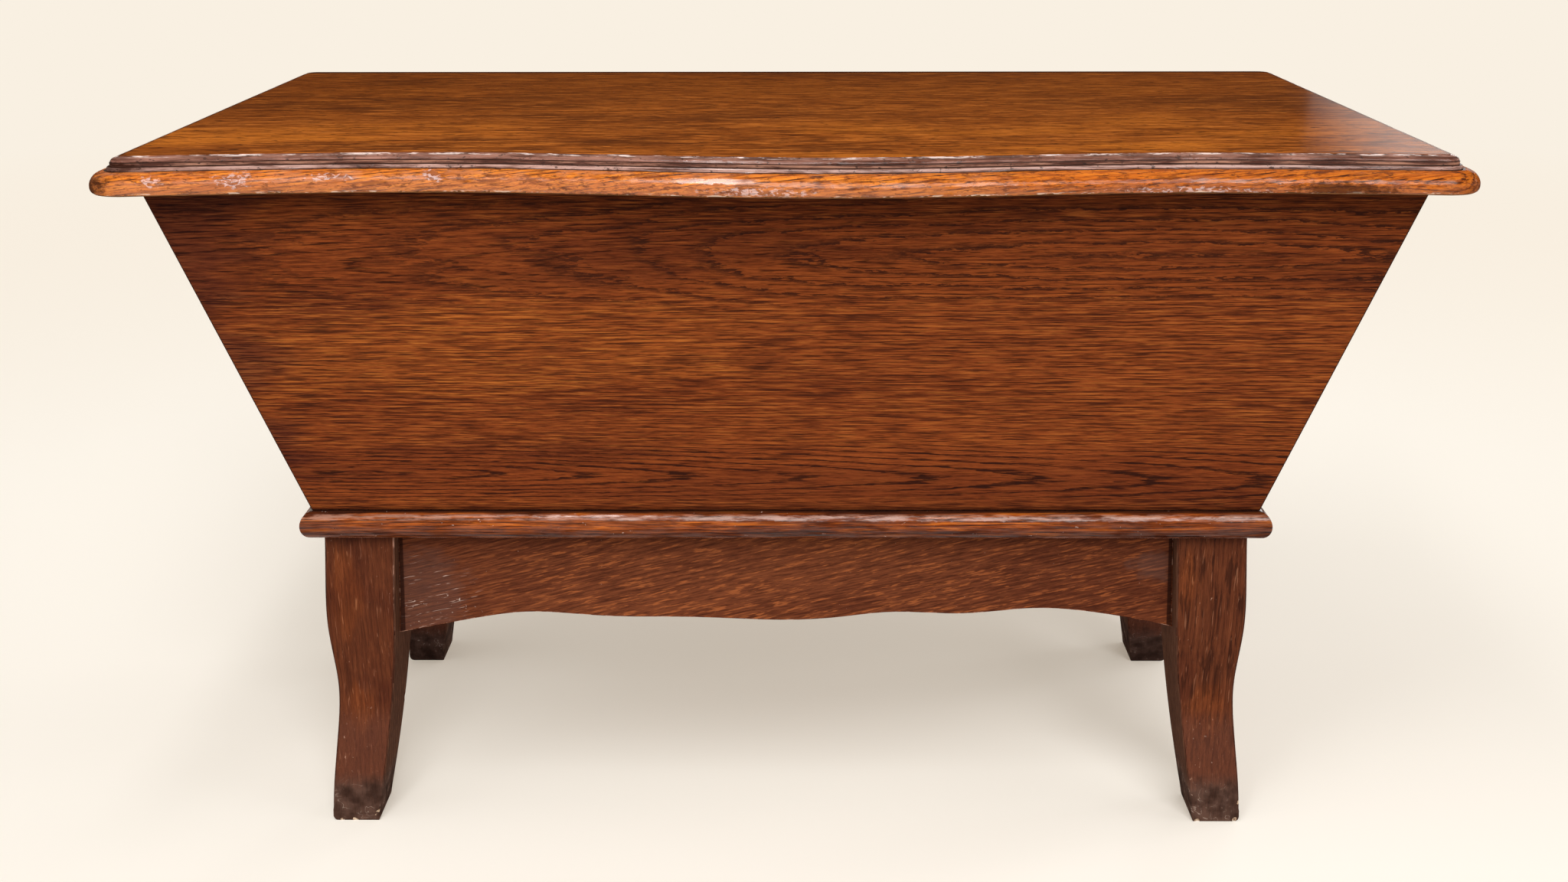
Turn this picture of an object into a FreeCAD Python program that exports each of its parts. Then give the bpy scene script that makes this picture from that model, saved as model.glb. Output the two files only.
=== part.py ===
import FreeCAD, Part
import math
import os

# Oak dough-trough chest: a splayed trough with a hinged moulded lid, on a low base
# of four shaped legs. Millimetres, +Z up, X along the length, front face at -Y.
# The origin is on the floor, below the middle of the lid.

V = FreeCAD.Vector

# ---------------------------------------------------------------- driving sizes
# Base: the leg blocks' outer faces, measured at the top of the legs.
BASE_LENGTH = 948.0
BASE_DEPTH = 412.0
LEG_HEIGHT = 328.0
BLOCK_HEIGHT = 103.0      # upper part of the leg that takes the aprons
# The outer faces' S, past the block's top edge: knee and ankle below the leg's top,
# then shin and foot above the floor.
KNEE_DROPS = (52.0, 100.0, 136.0, 173.0)
KNEE_BULGES = (3.1, 4.7, 2.6, 0.6)
SHIN_HEIGHTS = (106.0, 64.0)
SHIN_SPLAYS = (4.2, 9.6)
FOOT_SPLAY = 15.0
CALF_HEIGHT = 100.0       # above the floor
# Inner faces, measured in from the block's outer face: leg top, block end, calf, foot.
LEG_WIDTHS = (72.5, 66.5, 51.0, 34.5)
BACK_LEG_WIDTHS = (72.5, 66.5, 46.0, 28.5)
LEG_DEPTHS = (86.0, 83.0, 68.0, 41.5)
FOOT_ROUND = 6.0
FOOT_EASE = 1.2

# Aprons
APRON_THICKNESS = 22.0
APRON_SETBACK = 16.0      # behind the leg's face
APRON_EMBED = 12.0        # past the shoulder before the leg trims it
APRON_BACK_HEIGHT = 100.0
APRON_SIDE_HEIGHT = 106.0
APRON_SIDE_RISE = 18.0
# The front apron's hand-cut lower edge, left to right: shares of the half span between
# the legs, and depths below the apron's top.
SCALLOP_SHARES = (-1.03, -0.78, -0.685, -0.49, -0.25, 0.01, 0.13, 0.27, 0.465, 0.66, 0.80, 1.03)
SCALLOP_DROPS = (119.7, 99.7, 95.1, 99.3, 100.8, 104.1, 101.3, 95.0, 96.5, 90.2, 94.4, 112.7)
TENON_LENGTH = 28.0
TENON_THICKNESS = 8.0
TENON_TOP = 12.0          # below the apron's top
TENON_HEIGHT = 80.0
TENON_FIT = 0.2           # clearance round the tenon
TENON_END = 1.5           # clearance past its end
PEG_RADIUS = 3.5
PEG_STOP = 9.0            # wood left between the peg's end and the leg's face
PEG_DROPS_LONG = (27.0, 63.0)   # below the top, pegs of the front and back aprons
PEG_DROPS_SIDE = (43.0, 79.0)   # between those, pegs of the side aprons

# Plinth frame
PLINTH_THICKNESS = 29.0
PLINTH_WIDTH = 75.0
PLINTH_NOSE = 11.0        # half-round nose past the trough's foot
TROUGH_PROUD = 8.0        # trough's foot past the leg's face
BEARER_X = 160.0
BEARER_WIDTH = 60.0
BEARER_TONGUE = 12.0

# Trough
TROUGH_HEIGHT = 342.0
SPLAY_X = 106.0           # each end leans out by this much over the height
SPLAY_Y = 73.0
PANEL_THICKNESS = 22.0
FLOOR_THICKNESS = 20.0
FLOOR_SPLIT = 65.0
DOWEL_RADIUS = 4.0
DOWEL_IN_PANEL = 12.0
DOWEL_IN_EDGE = 18.0
CORNER_DOWEL_HEIGHTS = (45.0, 125.0, 205.0, 285.0)   # above the trough's foot
FLOOR_DOWEL_X = (110.0, 320.0)

# Lid
LID_OVERHANG_END = 39.0       # past the trough's top at each end
LID_OVERHANG_SIDE = 50.0      # past it at the front and the back
LID_THICKNESS = 33.0
LID_JOINT_Y = 112.0       # the two board joints, either side of the middle
# The bowed front, left recess, centre and right recess: shares of the half length, and
# how far each is set back from the foremost point.
BOW_SHARES = (-0.512, 0.064, 0.592)
BOW_SETBACKS = (31.0, 0.0, 25.5)
BOW_CORNER_LEFT = 10.0
BOW_CORNER_RIGHT = 15.0
BOW_SLOPE_LEFT = 0.11
BOW_SLOPE_RIGHT = -0.06
FRONT_CORNER_RADIUS = 31.0
BACK_CORNER_RADIUS = 40.0
# Edge moulding, from the underside up: heights above the underside, run inwards.
MOULD_FOOT = (5.5, 5.4)       # run and height of the rounding under the edge
MOULD_BELLY = 6.5             # top of the plain band
MOULD_OVOLO = (15.0, 20.4)    # run and height at the top of the ovolo
MOULD_BEAD_RUN = 16.0         # where the small bead above it starts
MOULD_BEAD = (18.5, 24.2)     # run and height at the top of the bead
MOULD_FILLET = (19.4, 27.6)   # run and height at the top of the fillet
MOULD_ROUND_RUN = 20.2        # where the upper quarter-round starts
MOULD_TOP = (28.0, 32.2)      # run and height at its top
MOULD_SECTIONS = 4
TONGUE_THICKNESS = 6.0
TONGUE_WIDTH = 24.0
TONGUE_STOP = 60.0            # tongues stop this far short of the lid's ends
TONGUE_FIT = 0.2
BATTEN_X = 330.0
BATTEN_WIDTH = 60.0
BATTEN_THICKNESS = 24.0
BATTEN_CLEARANCE = 20.0       # to the trough's inner faces
BATTEN_BEVEL = 10.0
BATTEN_SCREW_Y = (60.0, 190.0)

# Hinges
HINGE_INSET = 227.0        # from the lid's end to the hinge's middle
HINGE_LENGTH = 76.0
LEAF_THICKNESS = 2.2
LEAF_GAP = 0.3                # between the closed leaves
LEAF_WIDTH = 25.5             # from the pin's axis
KNUCKLE_RADIUS = 4.5
KNUCKLE_COUNT = 5
KNUCKLE_GAP = 0.4
KNUCKLE_CLEARANCE = 0.5       # barrel to the back panel
LID_COVE_CLEARANCE = 0.7      # barrel to the cove in the lid
PIN_RADIUS = 2.2
PIN_FIT = 0.05
PIN_HEAD_RADIUS = 3.4
PIN_HEAD_THICKNESS = 1.5
HINGE_SCREW_PITCH = 26.0
HINGE_SCREW_Y = 15.0          # in front of the pin's axis

# Screws: shank radius, head radius, head depth, length
WOOD_SCREW = (2.5, 5.0, 3.0)
PLINTH_SCREW_LENGTH = 60.0
FLOOR_SCREW_LENGTH = 42.0
BATTEN_SCREW_LENGTH = 45.0
HINGE_SCREW = (1.75, 3.4, 1.9)
HINGE_SCREW_LENGTH = 24.0
SLOT_WIDTH = 1.0
SLOT_SHARE = 0.5              # slot depth as a share of the head's depth
PLINTH_SCREW_INSET = (36.0, 34.0)   # from the leg block's outer faces
APRON_SCREW_X = 170.0
FLOOR_SCREW_Y = 110.0
FLOOR_SCREW_END = 13.0        # from the plinth frame's inner end edge

# ---------------------------------------------------------------- derived places
HALF_X = BASE_LENGTH / 2
HALF_Y = BASE_DEPTH / 2
CLEAR_X = HALF_X - LEG_WIDTHS[0]  # leg's inner face at the top
CLEAR_Y = HALF_Y - LEG_DEPTHS[0]
PLINTH_Z = LEG_HEIGHT
TROUGH_Z = PLINTH_Z + PLINTH_THICKNESS
RIM_Z = TROUGH_Z + TROUGH_HEIGHT
FLOOR_Z = TROUGH_Z + FLOOR_THICKNESS
FOOT_X = HALF_X + TROUGH_PROUD    # trough's outer faces at its foot
FOOT_Y = HALF_Y + TROUGH_PROUD
PANEL_X = PANEL_THICKNESS * math.hypot(1.0, SPLAY_X / TROUGH_HEIGHT)   # level thickness
PANEL_Y = PANEL_THICKNESS * math.hypot(1.0, SPLAY_Y / TROUGH_HEIGHT)
NOSE_X = FOOT_X + PLINTH_NOSE
NOSE_Y = FOOT_Y + PLINTH_NOSE
LID_LENGTH = 2 * (FOOT_X + SPLAY_X + LID_OVERHANG_END)
HINGE_X = LID_LENGTH / 2 - HINGE_INSET
LID_DEPTH = 2 * (FOOT_Y + SPLAY_Y + LID_OVERHANG_SIDE)
BACK = LID_DEPTH / 2
PIN_Y = FOOT_Y + SPLAY_Y + KNUCKLE_RADIUS + KNUCKLE_CLEARANCE
PIN_Z = RIM_Z


def save(name, *solids):
    shape = solids[0] if len(solids) == 1 else Part.makeCompound(list(solids))
    shape.exportStep("parts/%s.step" % name)


def box(x0, x1, y0, y1, z0, z1):
    return Part.makeBox(x1 - x0, y1 - y0, z1 - z0, V(x0, y0, z0))


def flared(low, high, z0, z1):
    """Board between a level rectangle at z0 and one at z1, each x0, x1, y0, y1."""
    lying = Part.makeWedge(low[0], z0, -low[3], -high[3], high[0], low[1], z1, -low[2], -high[2], high[1])
    lying.rotate(V(0, 0, 0), V(1, 0, 0), 90)
    return lying


def mirrored(shape, x=False, y=False):
    if x:
        shape = shape.mirror(V(0, 0, 0), V(1, 0, 0))
    if y:
        shape = shape.mirror(V(0, 0, 0), V(0, 1, 0))
    return shape


def screw(head, direction, length, sizes):
    """Countersunk wood screw with a pointed end, and the plain shape of its hole."""
    shank, wide, deep = sizes
    point = 3 * shank
    profile = Part.makePolygon([V(0, 0, 0), V(wide, 0, 0), V(shank, 0, deep), V(shank, 0, length - point),
                                V(0, 0, length), V(0, 0, 0)])
    plain = Part.Face(profile).revolve(V(0, 0, 0), V(0, 0, 1), 360)
    slot = box(-wide, wide, -SLOT_WIDTH / 2, SLOT_WIDTH / 2, -1.0, deep * SLOT_SHARE)
    place = FreeCAD.Placement(head, FreeCAD.Rotation(V(0, 0, 1), direction))
    slotted = plain.cut(slot)
    plain.Placement = place
    slotted.Placement = place
    return slotted, plain


def screws(heads, direction, length, sizes):
    made = [screw(head, direction, length, sizes) for head in heads]
    return [pair[0] for pair in made], [pair[1] for pair in made]


def bored(shape, cutters):
    return shape.cut(Part.makeCompound(list(cutters))) if cutters else shape


def rod(start, direction, length, radius):
    return Part.makeCylinder(radius, length, start, direction)


# ---------------------------------------------------------------- legs
def leg_profile(inner, rounding, place):
    """Side view of a leg: run inwards from the block's outer face, and height."""
    top, block, calf, heel = inner
    outer = Part.BSplineCurve()
    knee = [place(-bulge, LEG_HEIGHT - drop) for bulge, drop in zip(KNEE_BULGES, KNEE_DROPS)]
    shin = [place(-splay, height) for splay, height in zip(SHIN_SPLAYS, SHIN_HEIGHTS)]
    outer.interpolate([place(0, LEG_HEIGHT)] + knee + shin + [place(-FOOT_SPLAY, rounding)])
    bend = rounding * (1 - math.sqrt(0.5))
    corner = Part.Arc(place(-FOOT_SPLAY, rounding), place(bend - FOOT_SPLAY, bend),
                      place(rounding - FOOT_SPLAY, 0))
    sole = Part.makePolygon([place(rounding - FOOT_SPLAY, 0), place(heel - FOOT_EASE, 0), place(heel, FOOT_EASE)])
    rear = Part.BSplineCurve()
    rear.interpolate([place(heel, FOOT_EASE), place(calf, CALF_HEIGHT), place(block, LEG_HEIGHT - BLOCK_HEIGHT)])
    head = Part.makePolygon([place(block, LEG_HEIGHT - BLOCK_HEIGHT), place(top, LEG_HEIGHT), place(0, LEG_HEIGHT)])
    return Part.Face(Part.Wire([outer.toShape(), corner.toShape()] + sole.Edges + [rear.toShape()] + head.Edges))


def leg_blank(widths):
    """Front left leg before any joint is cut, sawn to shape from the front and the side."""
    reach = 2 * LEG_DEPTHS[0]
    from_front = leg_profile(widths, FOOT_ROUND, lambda u, z: V(u - HALF_X, -HALF_Y - reach / 2, z))
    from_side = leg_profile(LEG_DEPTHS, FOOT_EASE, lambda u, z: V(-HALF_X - reach / 2, u - HALF_Y, z))
    return from_front.extrude(V(0, 2 * reach, 0)).common(from_side.extrude(V(2 * reach, 0, 0)))


BLANK = leg_blank(LEG_WIDTHS)
BLANKS = {False: BLANK, True: leg_blank(BACK_LEG_WIDTHS)}     # front, back
TENON_Z = LEG_HEIGHT - TENON_TOP


def long_tenon(fit, end):
    """Front left tenon of the front apron, with clearances for its mortise."""
    middle = HALF_Y - APRON_SETBACK - APRON_THICKNESS / 2
    half = TENON_THICKNESS / 2 + fit
    return box(-CLEAR_X - TENON_LENGTH - end, -CLEAR_X + 1.0, -middle - half, -middle + half,
               TENON_Z - TENON_HEIGHT - fit, TENON_Z + fit)


def side_tenon(fit, end):
    """Front tenon of the left apron, with clearances for its mortise."""
    middle = HALF_X - APRON_SETBACK - APRON_THICKNESS / 2
    half = TENON_THICKNESS / 2 + fit
    return box(-middle - half, -middle + half, -CLEAR_Y - TENON_LENGTH - end, -CLEAR_Y + 1.0,
               TENON_Z - TENON_HEIGHT - fit, TENON_Z + fit)


def leg_pegs():
    """The four pegs of the front left leg, trimmed flush with its inner faces."""
    across = -CLEAR_X - TENON_LENGTH / 2
    along = -CLEAR_Y - TENON_LENGTH / 2
    rods = [rod(V(across, PEG_STOP - HALF_Y, LEG_HEIGHT - drop), V(0, 1, 0), LEG_DEPTHS[0], PEG_RADIUS)
            for drop in PEG_DROPS_LONG]
    rods += [rod(V(PEG_STOP - HALF_X, along, LEG_HEIGHT - drop), V(1, 0, 0), LEG_WIDTHS[0], PEG_RADIUS)
             for drop in PEG_DROPS_SIDE]
    return [peg.common(BLANK) for peg in rods]


def plinth_screw_heads():
    legs = [V(sx * (HALF_X - PLINTH_SCREW_INSET[0]), sy * (HALF_Y - PLINTH_SCREW_INSET[1]), TROUGH_Z)
            for sx in (-1, 1) for sy in (-1, 1)]
    apron_y = HALF_Y - APRON_SETBACK - APRON_THICKNESS / 2
    apron_x = HALF_X - APRON_SETBACK - APRON_THICKNESS / 2
    aprons = [V(sx * APRON_SCREW_X, sy * apron_y, TROUGH_Z) for sx in (-1, 1) for sy in (-1, 1)]
    return legs + aprons + [V(sx * apron_x, 0, TROUGH_Z) for sx in (-1, 1)]


PEGS = leg_pegs()
PLINTH_SCREWS, PLINTH_HOLES = screws(plinth_screw_heads(), V(0, 0, -1), PLINTH_SCREW_LENGTH, WOOD_SCREW)
MORTISES = [long_tenon(TENON_FIT, TENON_END), side_tenon(TENON_FIT, TENON_END)]
SIDES = {"left": False, "right": True}
ENDS = {"front": False, "back": True}
for end, back in ENDS.items():
    cut_leg = bored(BLANKS[back], MORTISES + PEGS)
    for side, right in SIDES.items():
        save("leg_%s_%s" % (end, side), bored(mirrored(cut_leg, x=right, y=back), PLINTH_HOLES))
ALL_PEGS = [mirrored(peg, x=right, y=back) for peg in PEGS for right in (False, True) for back in (False, True)]
ALL_BLANKS = [mirrored(BLANKS[back], x=right, y=back) for right in (False, True) for back in (False, True)]
save("apron_pegs", *ALL_PEGS)


# ---------------------------------------------------------------- aprons
def finished_apron(board, tenons):
    """Trim a board to the legs' inner faces, add its tenons and bore it."""
    between = board.cut(Part.makeCompound(ALL_BLANKS))
    return bored(between.fuse(tenons).removeSplitter(), ALL_PEGS + PLINTH_HOLES)


def scalloped_front():
    y = APRON_SETBACK - HALF_Y
    edge = Part.BSplineCurve()
    points = [V(share * CLEAR_X, y, LEG_HEIGHT - drop) for share, drop in zip(SCALLOP_SHARES, SCALLOP_DROPS)]
    edge.interpolate(points)
    top = Part.makePolygon([points[-1], V(points[-1].x, y, LEG_HEIGHT), V(points[0].x, y, LEG_HEIGHT), points[0]])
    return Part.Face(Part.Wire([edge.toShape()] + top.Edges)).extrude(V(0, APRON_THICKNESS, 0))


def side_board():
    """Left apron: its lower edge is one shallow arch."""
    x = APRON_SETBACK - HALF_X
    reach = CLEAR_Y + APRON_EMBED
    low = LEG_HEIGHT - APRON_SIDE_HEIGHT
    arch = Part.Arc(V(x, -reach, low), V(x, 0, low + APRON_SIDE_RISE), V(x, reach, low))
    rest = Part.makePolygon([V(x, reach, low), V(x, reach, LEG_HEIGHT), V(x, -reach, LEG_HEIGHT), V(x, -reach, low)])
    return Part.Face(Part.Wire([arch.toShape()] + rest.Edges)).extrude(V(APRON_THICKNESS, 0, 0))


LONG_TENON = long_tenon(0.0, 0.0)
SIDE_TENON = side_tenon(0.0, 0.0)
save("apron_front", finished_apron(scalloped_front(), [LONG_TENON, mirrored(LONG_TENON, x=True)]))
BACK_BOARD = box(-CLEAR_X - APRON_EMBED, CLEAR_X + APRON_EMBED, HALF_Y - APRON_SETBACK - APRON_THICKNESS,
                 HALF_Y - APRON_SETBACK, LEG_HEIGHT - APRON_BACK_HEIGHT, LEG_HEIGHT)
save("apron_back", finished_apron(BACK_BOARD, [mirrored(LONG_TENON, y=True), mirrored(LONG_TENON, x=True, y=True)]))
for side, right in SIDES.items():
    tenons = [mirrored(SIDE_TENON, x=right), mirrored(SIDE_TENON, x=right, y=True)]
    save("apron_%s" % side, finished_apron(mirrored(side_board(), x=right), tenons))


# ---------------------------------------------------------------- plinth frame and bearers
def plinth_section(place):
    """Frame section with a half-round nose: run in from the trough's foot, and height."""
    middle = PLINTH_Z + PLINTH_THICKNESS / 2
    half = PLINTH_THICKNESS / 2
    inner = PLINTH_WIDTH - PLINTH_NOSE
    nose = Part.Ellipse(place(0, middle + half), place(-PLINTH_NOSE, middle), place(0, middle))
    curve = Part.ArcOfEllipse(nose, 0, math.pi).toShape()
    body = Part.makePolygon([place(0, PLINTH_Z), place(inner, PLINTH_Z), place(inner, TROUGH_Z), place(0, TROUGH_Z)])
    return Part.Face(Part.Wire([curve] + body.Edges))


def mitre_plan(long_x, long_y):
    """Plan of one mitred member, as a prism: outer corners, then inner corners."""
    x, y = NOSE_X, NOSE_Y
    inner_x, inner_y = x - PLINTH_WIDTH, y - PLINTH_WIDTH
    if long_x:
        corners = [(-x, -y), (x, -y), (inner_x, -inner_y), (-inner_x, -inner_y)]
    if long_y:
        corners = [(-x, -y), (-inner_x, -inner_y), (-inner_x, inner_y), (-x, y)]
    points = [V(px, py, PLINTH_Z) for px, py in corners]
    return Part.Face(Part.makePolygon(points + points[:1])).extrude(V(0, 0, PLINTH_THICKNESS))


def bearer(x):
    half = BEARER_WIDTH / 2
    reach = NOSE_Y - PLINTH_WIDTH
    body = box(x - half, x + half, -reach, reach, PLINTH_Z, TROUGH_Z)
    quarter = PLINTH_THICKNESS / 4
    tongue = box(x - half, x + half, -reach - BEARER_TONGUE, reach + BEARER_TONGUE,
                 PLINTH_Z + quarter, TROUGH_Z - quarter)
    return body.fuse(tongue).removeSplitter()


def floor_screw_heads():
    end = NOSE_X - PLINTH_WIDTH + FLOOR_SCREW_END
    return [V(x, y, PLINTH_Z) for x in (-end, -BEARER_X, BEARER_X, end) for y in (-FLOOR_SCREW_Y, 0, FLOOR_SCREW_Y)]


FLOOR_SCREWS, FLOOR_HOLES = screws(floor_screw_heads(), V(0, 0, 1), FLOOR_SCREW_LENGTH, WOOD_SCREW)
BEARERS = [bearer(-BEARER_X), bearer(BEARER_X)]
FRONT_MEMBER = plinth_section(lambda u, z: V(-NOSE_X, u - FOOT_Y, z)).extrude(V(2 * NOSE_X, 0, 0))
FRONT_MEMBER = FRONT_MEMBER.common(mitre_plan(True, False))
LEFT_MEMBER = plinth_section(lambda u, z: V(u - FOOT_X, -NOSE_Y, z)).extrude(V(0, 2 * NOSE_Y, 0))
LEFT_MEMBER = LEFT_MEMBER.common(mitre_plan(False, True))
for end, back in ENDS.items():
    save("plinth_%s" % end, bored(mirrored(FRONT_MEMBER, y=back), BEARERS + PLINTH_HOLES))
for side, right in SIDES.items():
    save("plinth_%s" % side, bored(mirrored(LEFT_MEMBER, x=right), PLINTH_HOLES + FLOOR_HOLES))
save("floor_bearers", *[bored(one, FLOOR_HOLES) for one in BEARERS])
save("plinth_screws", *PLINTH_SCREWS)
save("floor_screws", *FLOOR_SCREWS)


# ---------------------------------------------------------------- trough
def outer_x(z):
    return FOOT_X + SPLAY_X * (z - TROUGH_Z) / TROUGH_HEIGHT


def outer_y(z):
    return FOOT_Y + SPLAY_Y * (z - TROUGH_Z) / TROUGH_HEIGHT


def panel(rect):
    """A leaning trough board; rect gives its level outline at a height."""
    return flared(rect(TROUGH_Z), rect(RIM_Z), TROUGH_Z, RIM_Z)


def corner_dowels():
    """Dowels of the front left corner, from the front panel into the end panel's edge."""
    rods = []
    for height in CORNER_DOWEL_HEIGHTS:
        z = TROUGH_Z + height
        start = V(PANEL_X / 2 - outer_x(z), PANEL_Y - outer_y(z) - DOWEL_IN_PANEL, z)
        rods.append(rod(start, V(0, 1, 0), DOWEL_IN_PANEL + DOWEL_IN_EDGE, DOWEL_RADIUS))
    return rods


def floor_dowels():
    z = TROUGH_Z + FLOOR_THICKNESS / 2
    start = PANEL_Y - outer_y(z) - DOWEL_IN_PANEL
    return [rod(V(sx * x, start, z), V(0, 1, 0), DOWEL_IN_PANEL + DOWEL_IN_EDGE, DOWEL_RADIUS)
            for x in FLOOR_DOWEL_X for sx in (-1, 1)]


def floor_board(y0, y1):
    """Board of the trough's floor, bevelled where it meets a leaning panel."""
    def rect(z):
        inner = outer_y(z) - PANEL_Y
        half = outer_x(z) - PANEL_X
        return (-half, half, max(y0, -inner), min(y1, inner))
    return flared(rect(TROUGH_Z), rect(FLOOR_Z), TROUGH_Z, FLOOR_Z)


CORNER_DOWELS = [mirrored(one, x=right, y=back) for one in corner_dowels()
                 for right in (False, True) for back in (False, True)]
FLOOR_DOWELS = [mirrored(one, y=back) for one in floor_dowels() for back in (False, True)]
LONG_PANEL = panel(lambda z: (-outer_x(z), outer_x(z), -outer_y(z), PANEL_Y - outer_y(z)))
END_PANEL = panel(lambda z: (-outer_x(z), PANEL_X - outer_x(z), PANEL_Y - outer_y(z), outer_y(z) - PANEL_Y))
for side, right in SIDES.items():
    save("end_panel_%s" % side, bored(mirrored(END_PANEL, x=right), CORNER_DOWELS))
save("front_panel", bored(LONG_PANEL, CORNER_DOWELS + FLOOR_DOWELS))
save("corner_dowels", *CORNER_DOWELS)
save("floor_dowels", *FLOOR_DOWELS)
PAST_WALL = 2 * FOOT_Y
for name, y0, y1 in (("front", -PAST_WALL, -FLOOR_SPLIT), ("middle", -FLOOR_SPLIT, FLOOR_SPLIT),
                     ("back", FLOOR_SPLIT, PAST_WALL)):
    save("floor_board_%s" % name, bored(floor_board(y0, y1), FLOOR_HOLES + FLOOR_DOWELS))


# ---------------------------------------------------------------- hinges
KNUCKLE_LENGTH = HINGE_LENGTH / KNUCKLE_COUNT


def leaf(x, upper):
    """One leaf with its share of the knuckles; the lid's leaf is the upper one."""
    low = PIN_Z + LEAF_GAP / 2 if upper else PIN_Z - LEAF_GAP / 2 - LEAF_THICKNESS
    first = x - HINGE_LENGTH / 2
    plate_end = PIN_Y - KNUCKLE_RADIUS - KNUCKLE_GAP
    made = box(first, first + HINGE_LENGTH, PIN_Y - LEAF_WIDTH, plate_end, low, low + LEAF_THICKNESS)
    for index in range(1 if upper else 0, KNUCKLE_COUNT, 2):
        start = first + index * KNUCKLE_LENGTH + KNUCKLE_GAP / 2
        length = KNUCKLE_LENGTH - KNUCKLE_GAP
        tab = box(start, start + length, plate_end, PIN_Y, low, low + LEAF_THICKNESS)
        barrel = rod(V(start, PIN_Y, PIN_Z), V(1, 0, 0), length, KNUCKLE_RADIUS)
        made = made.fuse([tab, barrel])
    hole = PIN_RADIUS + (PIN_FIT if upper else 0.0)
    bore = rod(V(first - 1.0, PIN_Y, PIN_Z), V(1, 0, 0), HINGE_LENGTH + 2.0, hole)
    return made.removeSplitter().cut(bore)


def pin(x):
    first = x - HINGE_LENGTH / 2
    made = rod(V(first, PIN_Y, PIN_Z), V(1, 0, 0), HINGE_LENGTH, PIN_RADIUS)
    for start in (first - PIN_HEAD_THICKNESS, first + HINGE_LENGTH):
        made = made.fuse(rod(V(start, PIN_Y, PIN_Z), V(1, 0, 0), PIN_HEAD_THICKNESS, PIN_HEAD_RADIUS))
    return made


def leaf_recess(x, upper):
    """Wood cut away for a leaf, open at the back where the barrel stands."""
    depth = LEAF_THICKNESS + LEAF_GAP / 2
    z0, z1 = (PIN_Z, PIN_Z + depth) if upper else (PIN_Z - depth, PIN_Z)
    return box(x - HINGE_LENGTH / 2, x + HINGE_LENGTH / 2, PIN_Y - LEAF_WIDTH, PIN_Y, z0, z1)


def barrel_cove(x):
    length = HINGE_LENGTH + 2 * (PIN_HEAD_THICKNESS + LID_COVE_CLEARANCE)
    return rod(V(x - length / 2, PIN_Y, PIN_Z), V(1, 0, 0), length, KNUCKLE_RADIUS + LID_COVE_CLEARANCE)


def hinge_screws(x, upper):
    z = PIN_Z + LEAF_GAP / 2 if upper else PIN_Z - LEAF_GAP / 2
    heads = [V(x + index * HINGE_SCREW_PITCH, PIN_Y - HINGE_SCREW_Y, z) for index in (-1, 0, 1)]
    return screws(heads, V(0, 0, 1 if upper else -1), HINGE_SCREW_LENGTH, HINGE_SCREW)


PANEL_CUTS = []
LID_CUTS = []
for side, right in SIDES.items():
    hinge_x = HINGE_X if right else -HINGE_X
    save("hinge_%s_pin" % side, pin(hinge_x))
    for name, upper, cuts in (("fixed", False, PANEL_CUTS), ("lid", True, LID_CUTS)):
        made, holes = hinge_screws(hinge_x, upper)
        save("hinge_%s_%s_leaf" % (side, name), bored(leaf(hinge_x, upper), holes))
        save("hinge_%s_%s_screws" % (side, name), *made)
        cuts.extend(holes + [leaf_recess(hinge_x, upper)])
    LID_CUTS.append(barrel_cove(hinge_x))
save("back_panel", bored(mirrored(LONG_PANEL, y=True), CORNER_DOWELS + FLOOR_DOWELS + PANEL_CUTS))


# ---------------------------------------------------------------- lid
def front_stations(inset):
    """Points of the bowed front with their slopes, left to right, for one inset."""
    half = LID_LENGTH / 2
    radius = FRONT_CORNER_RADIUS - inset
    stations = []
    for sign, setback, slope in ((-1, BOW_CORNER_LEFT, BOW_SLOPE_LEFT), (1, BOW_CORNER_RIGHT, BOW_SLOPE_RIGHT)):
        centre = V(sign * (half - FRONT_CORNER_RADIUS), setback - BACK + FRONT_CORNER_RADIUS, 0)
        tilt = math.atan(slope)
        stations.append((centre + V(math.sin(tilt), -math.cos(tilt), 0) * radius, slope))
    middle = [(V(share * half, setback - BACK + inset, 0), 0.0)
              for share, setback in zip(BOW_SHARES, BOW_SETBACKS)]
    return stations[:1] + middle + stations[1:]


def bow(start, start_slope, end, end_slope):
    """Cubic between two points with a given slope at each."""
    third = (end.x - start.x) / 3
    curve = Part.BezierCurve()
    curve.setPoles([start, start + V(third, third * start_slope, 0), end - V(third, third * end_slope, 0), end])
    return curve.toShape()


def round_corner(centre, radius, start, end):
    def at(angle):
        return centre + V(math.cos(angle), math.sin(angle), 0) * radius
    return Part.Arc(at(start), at((start + end) / 2), at(end)).toShape()


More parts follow.
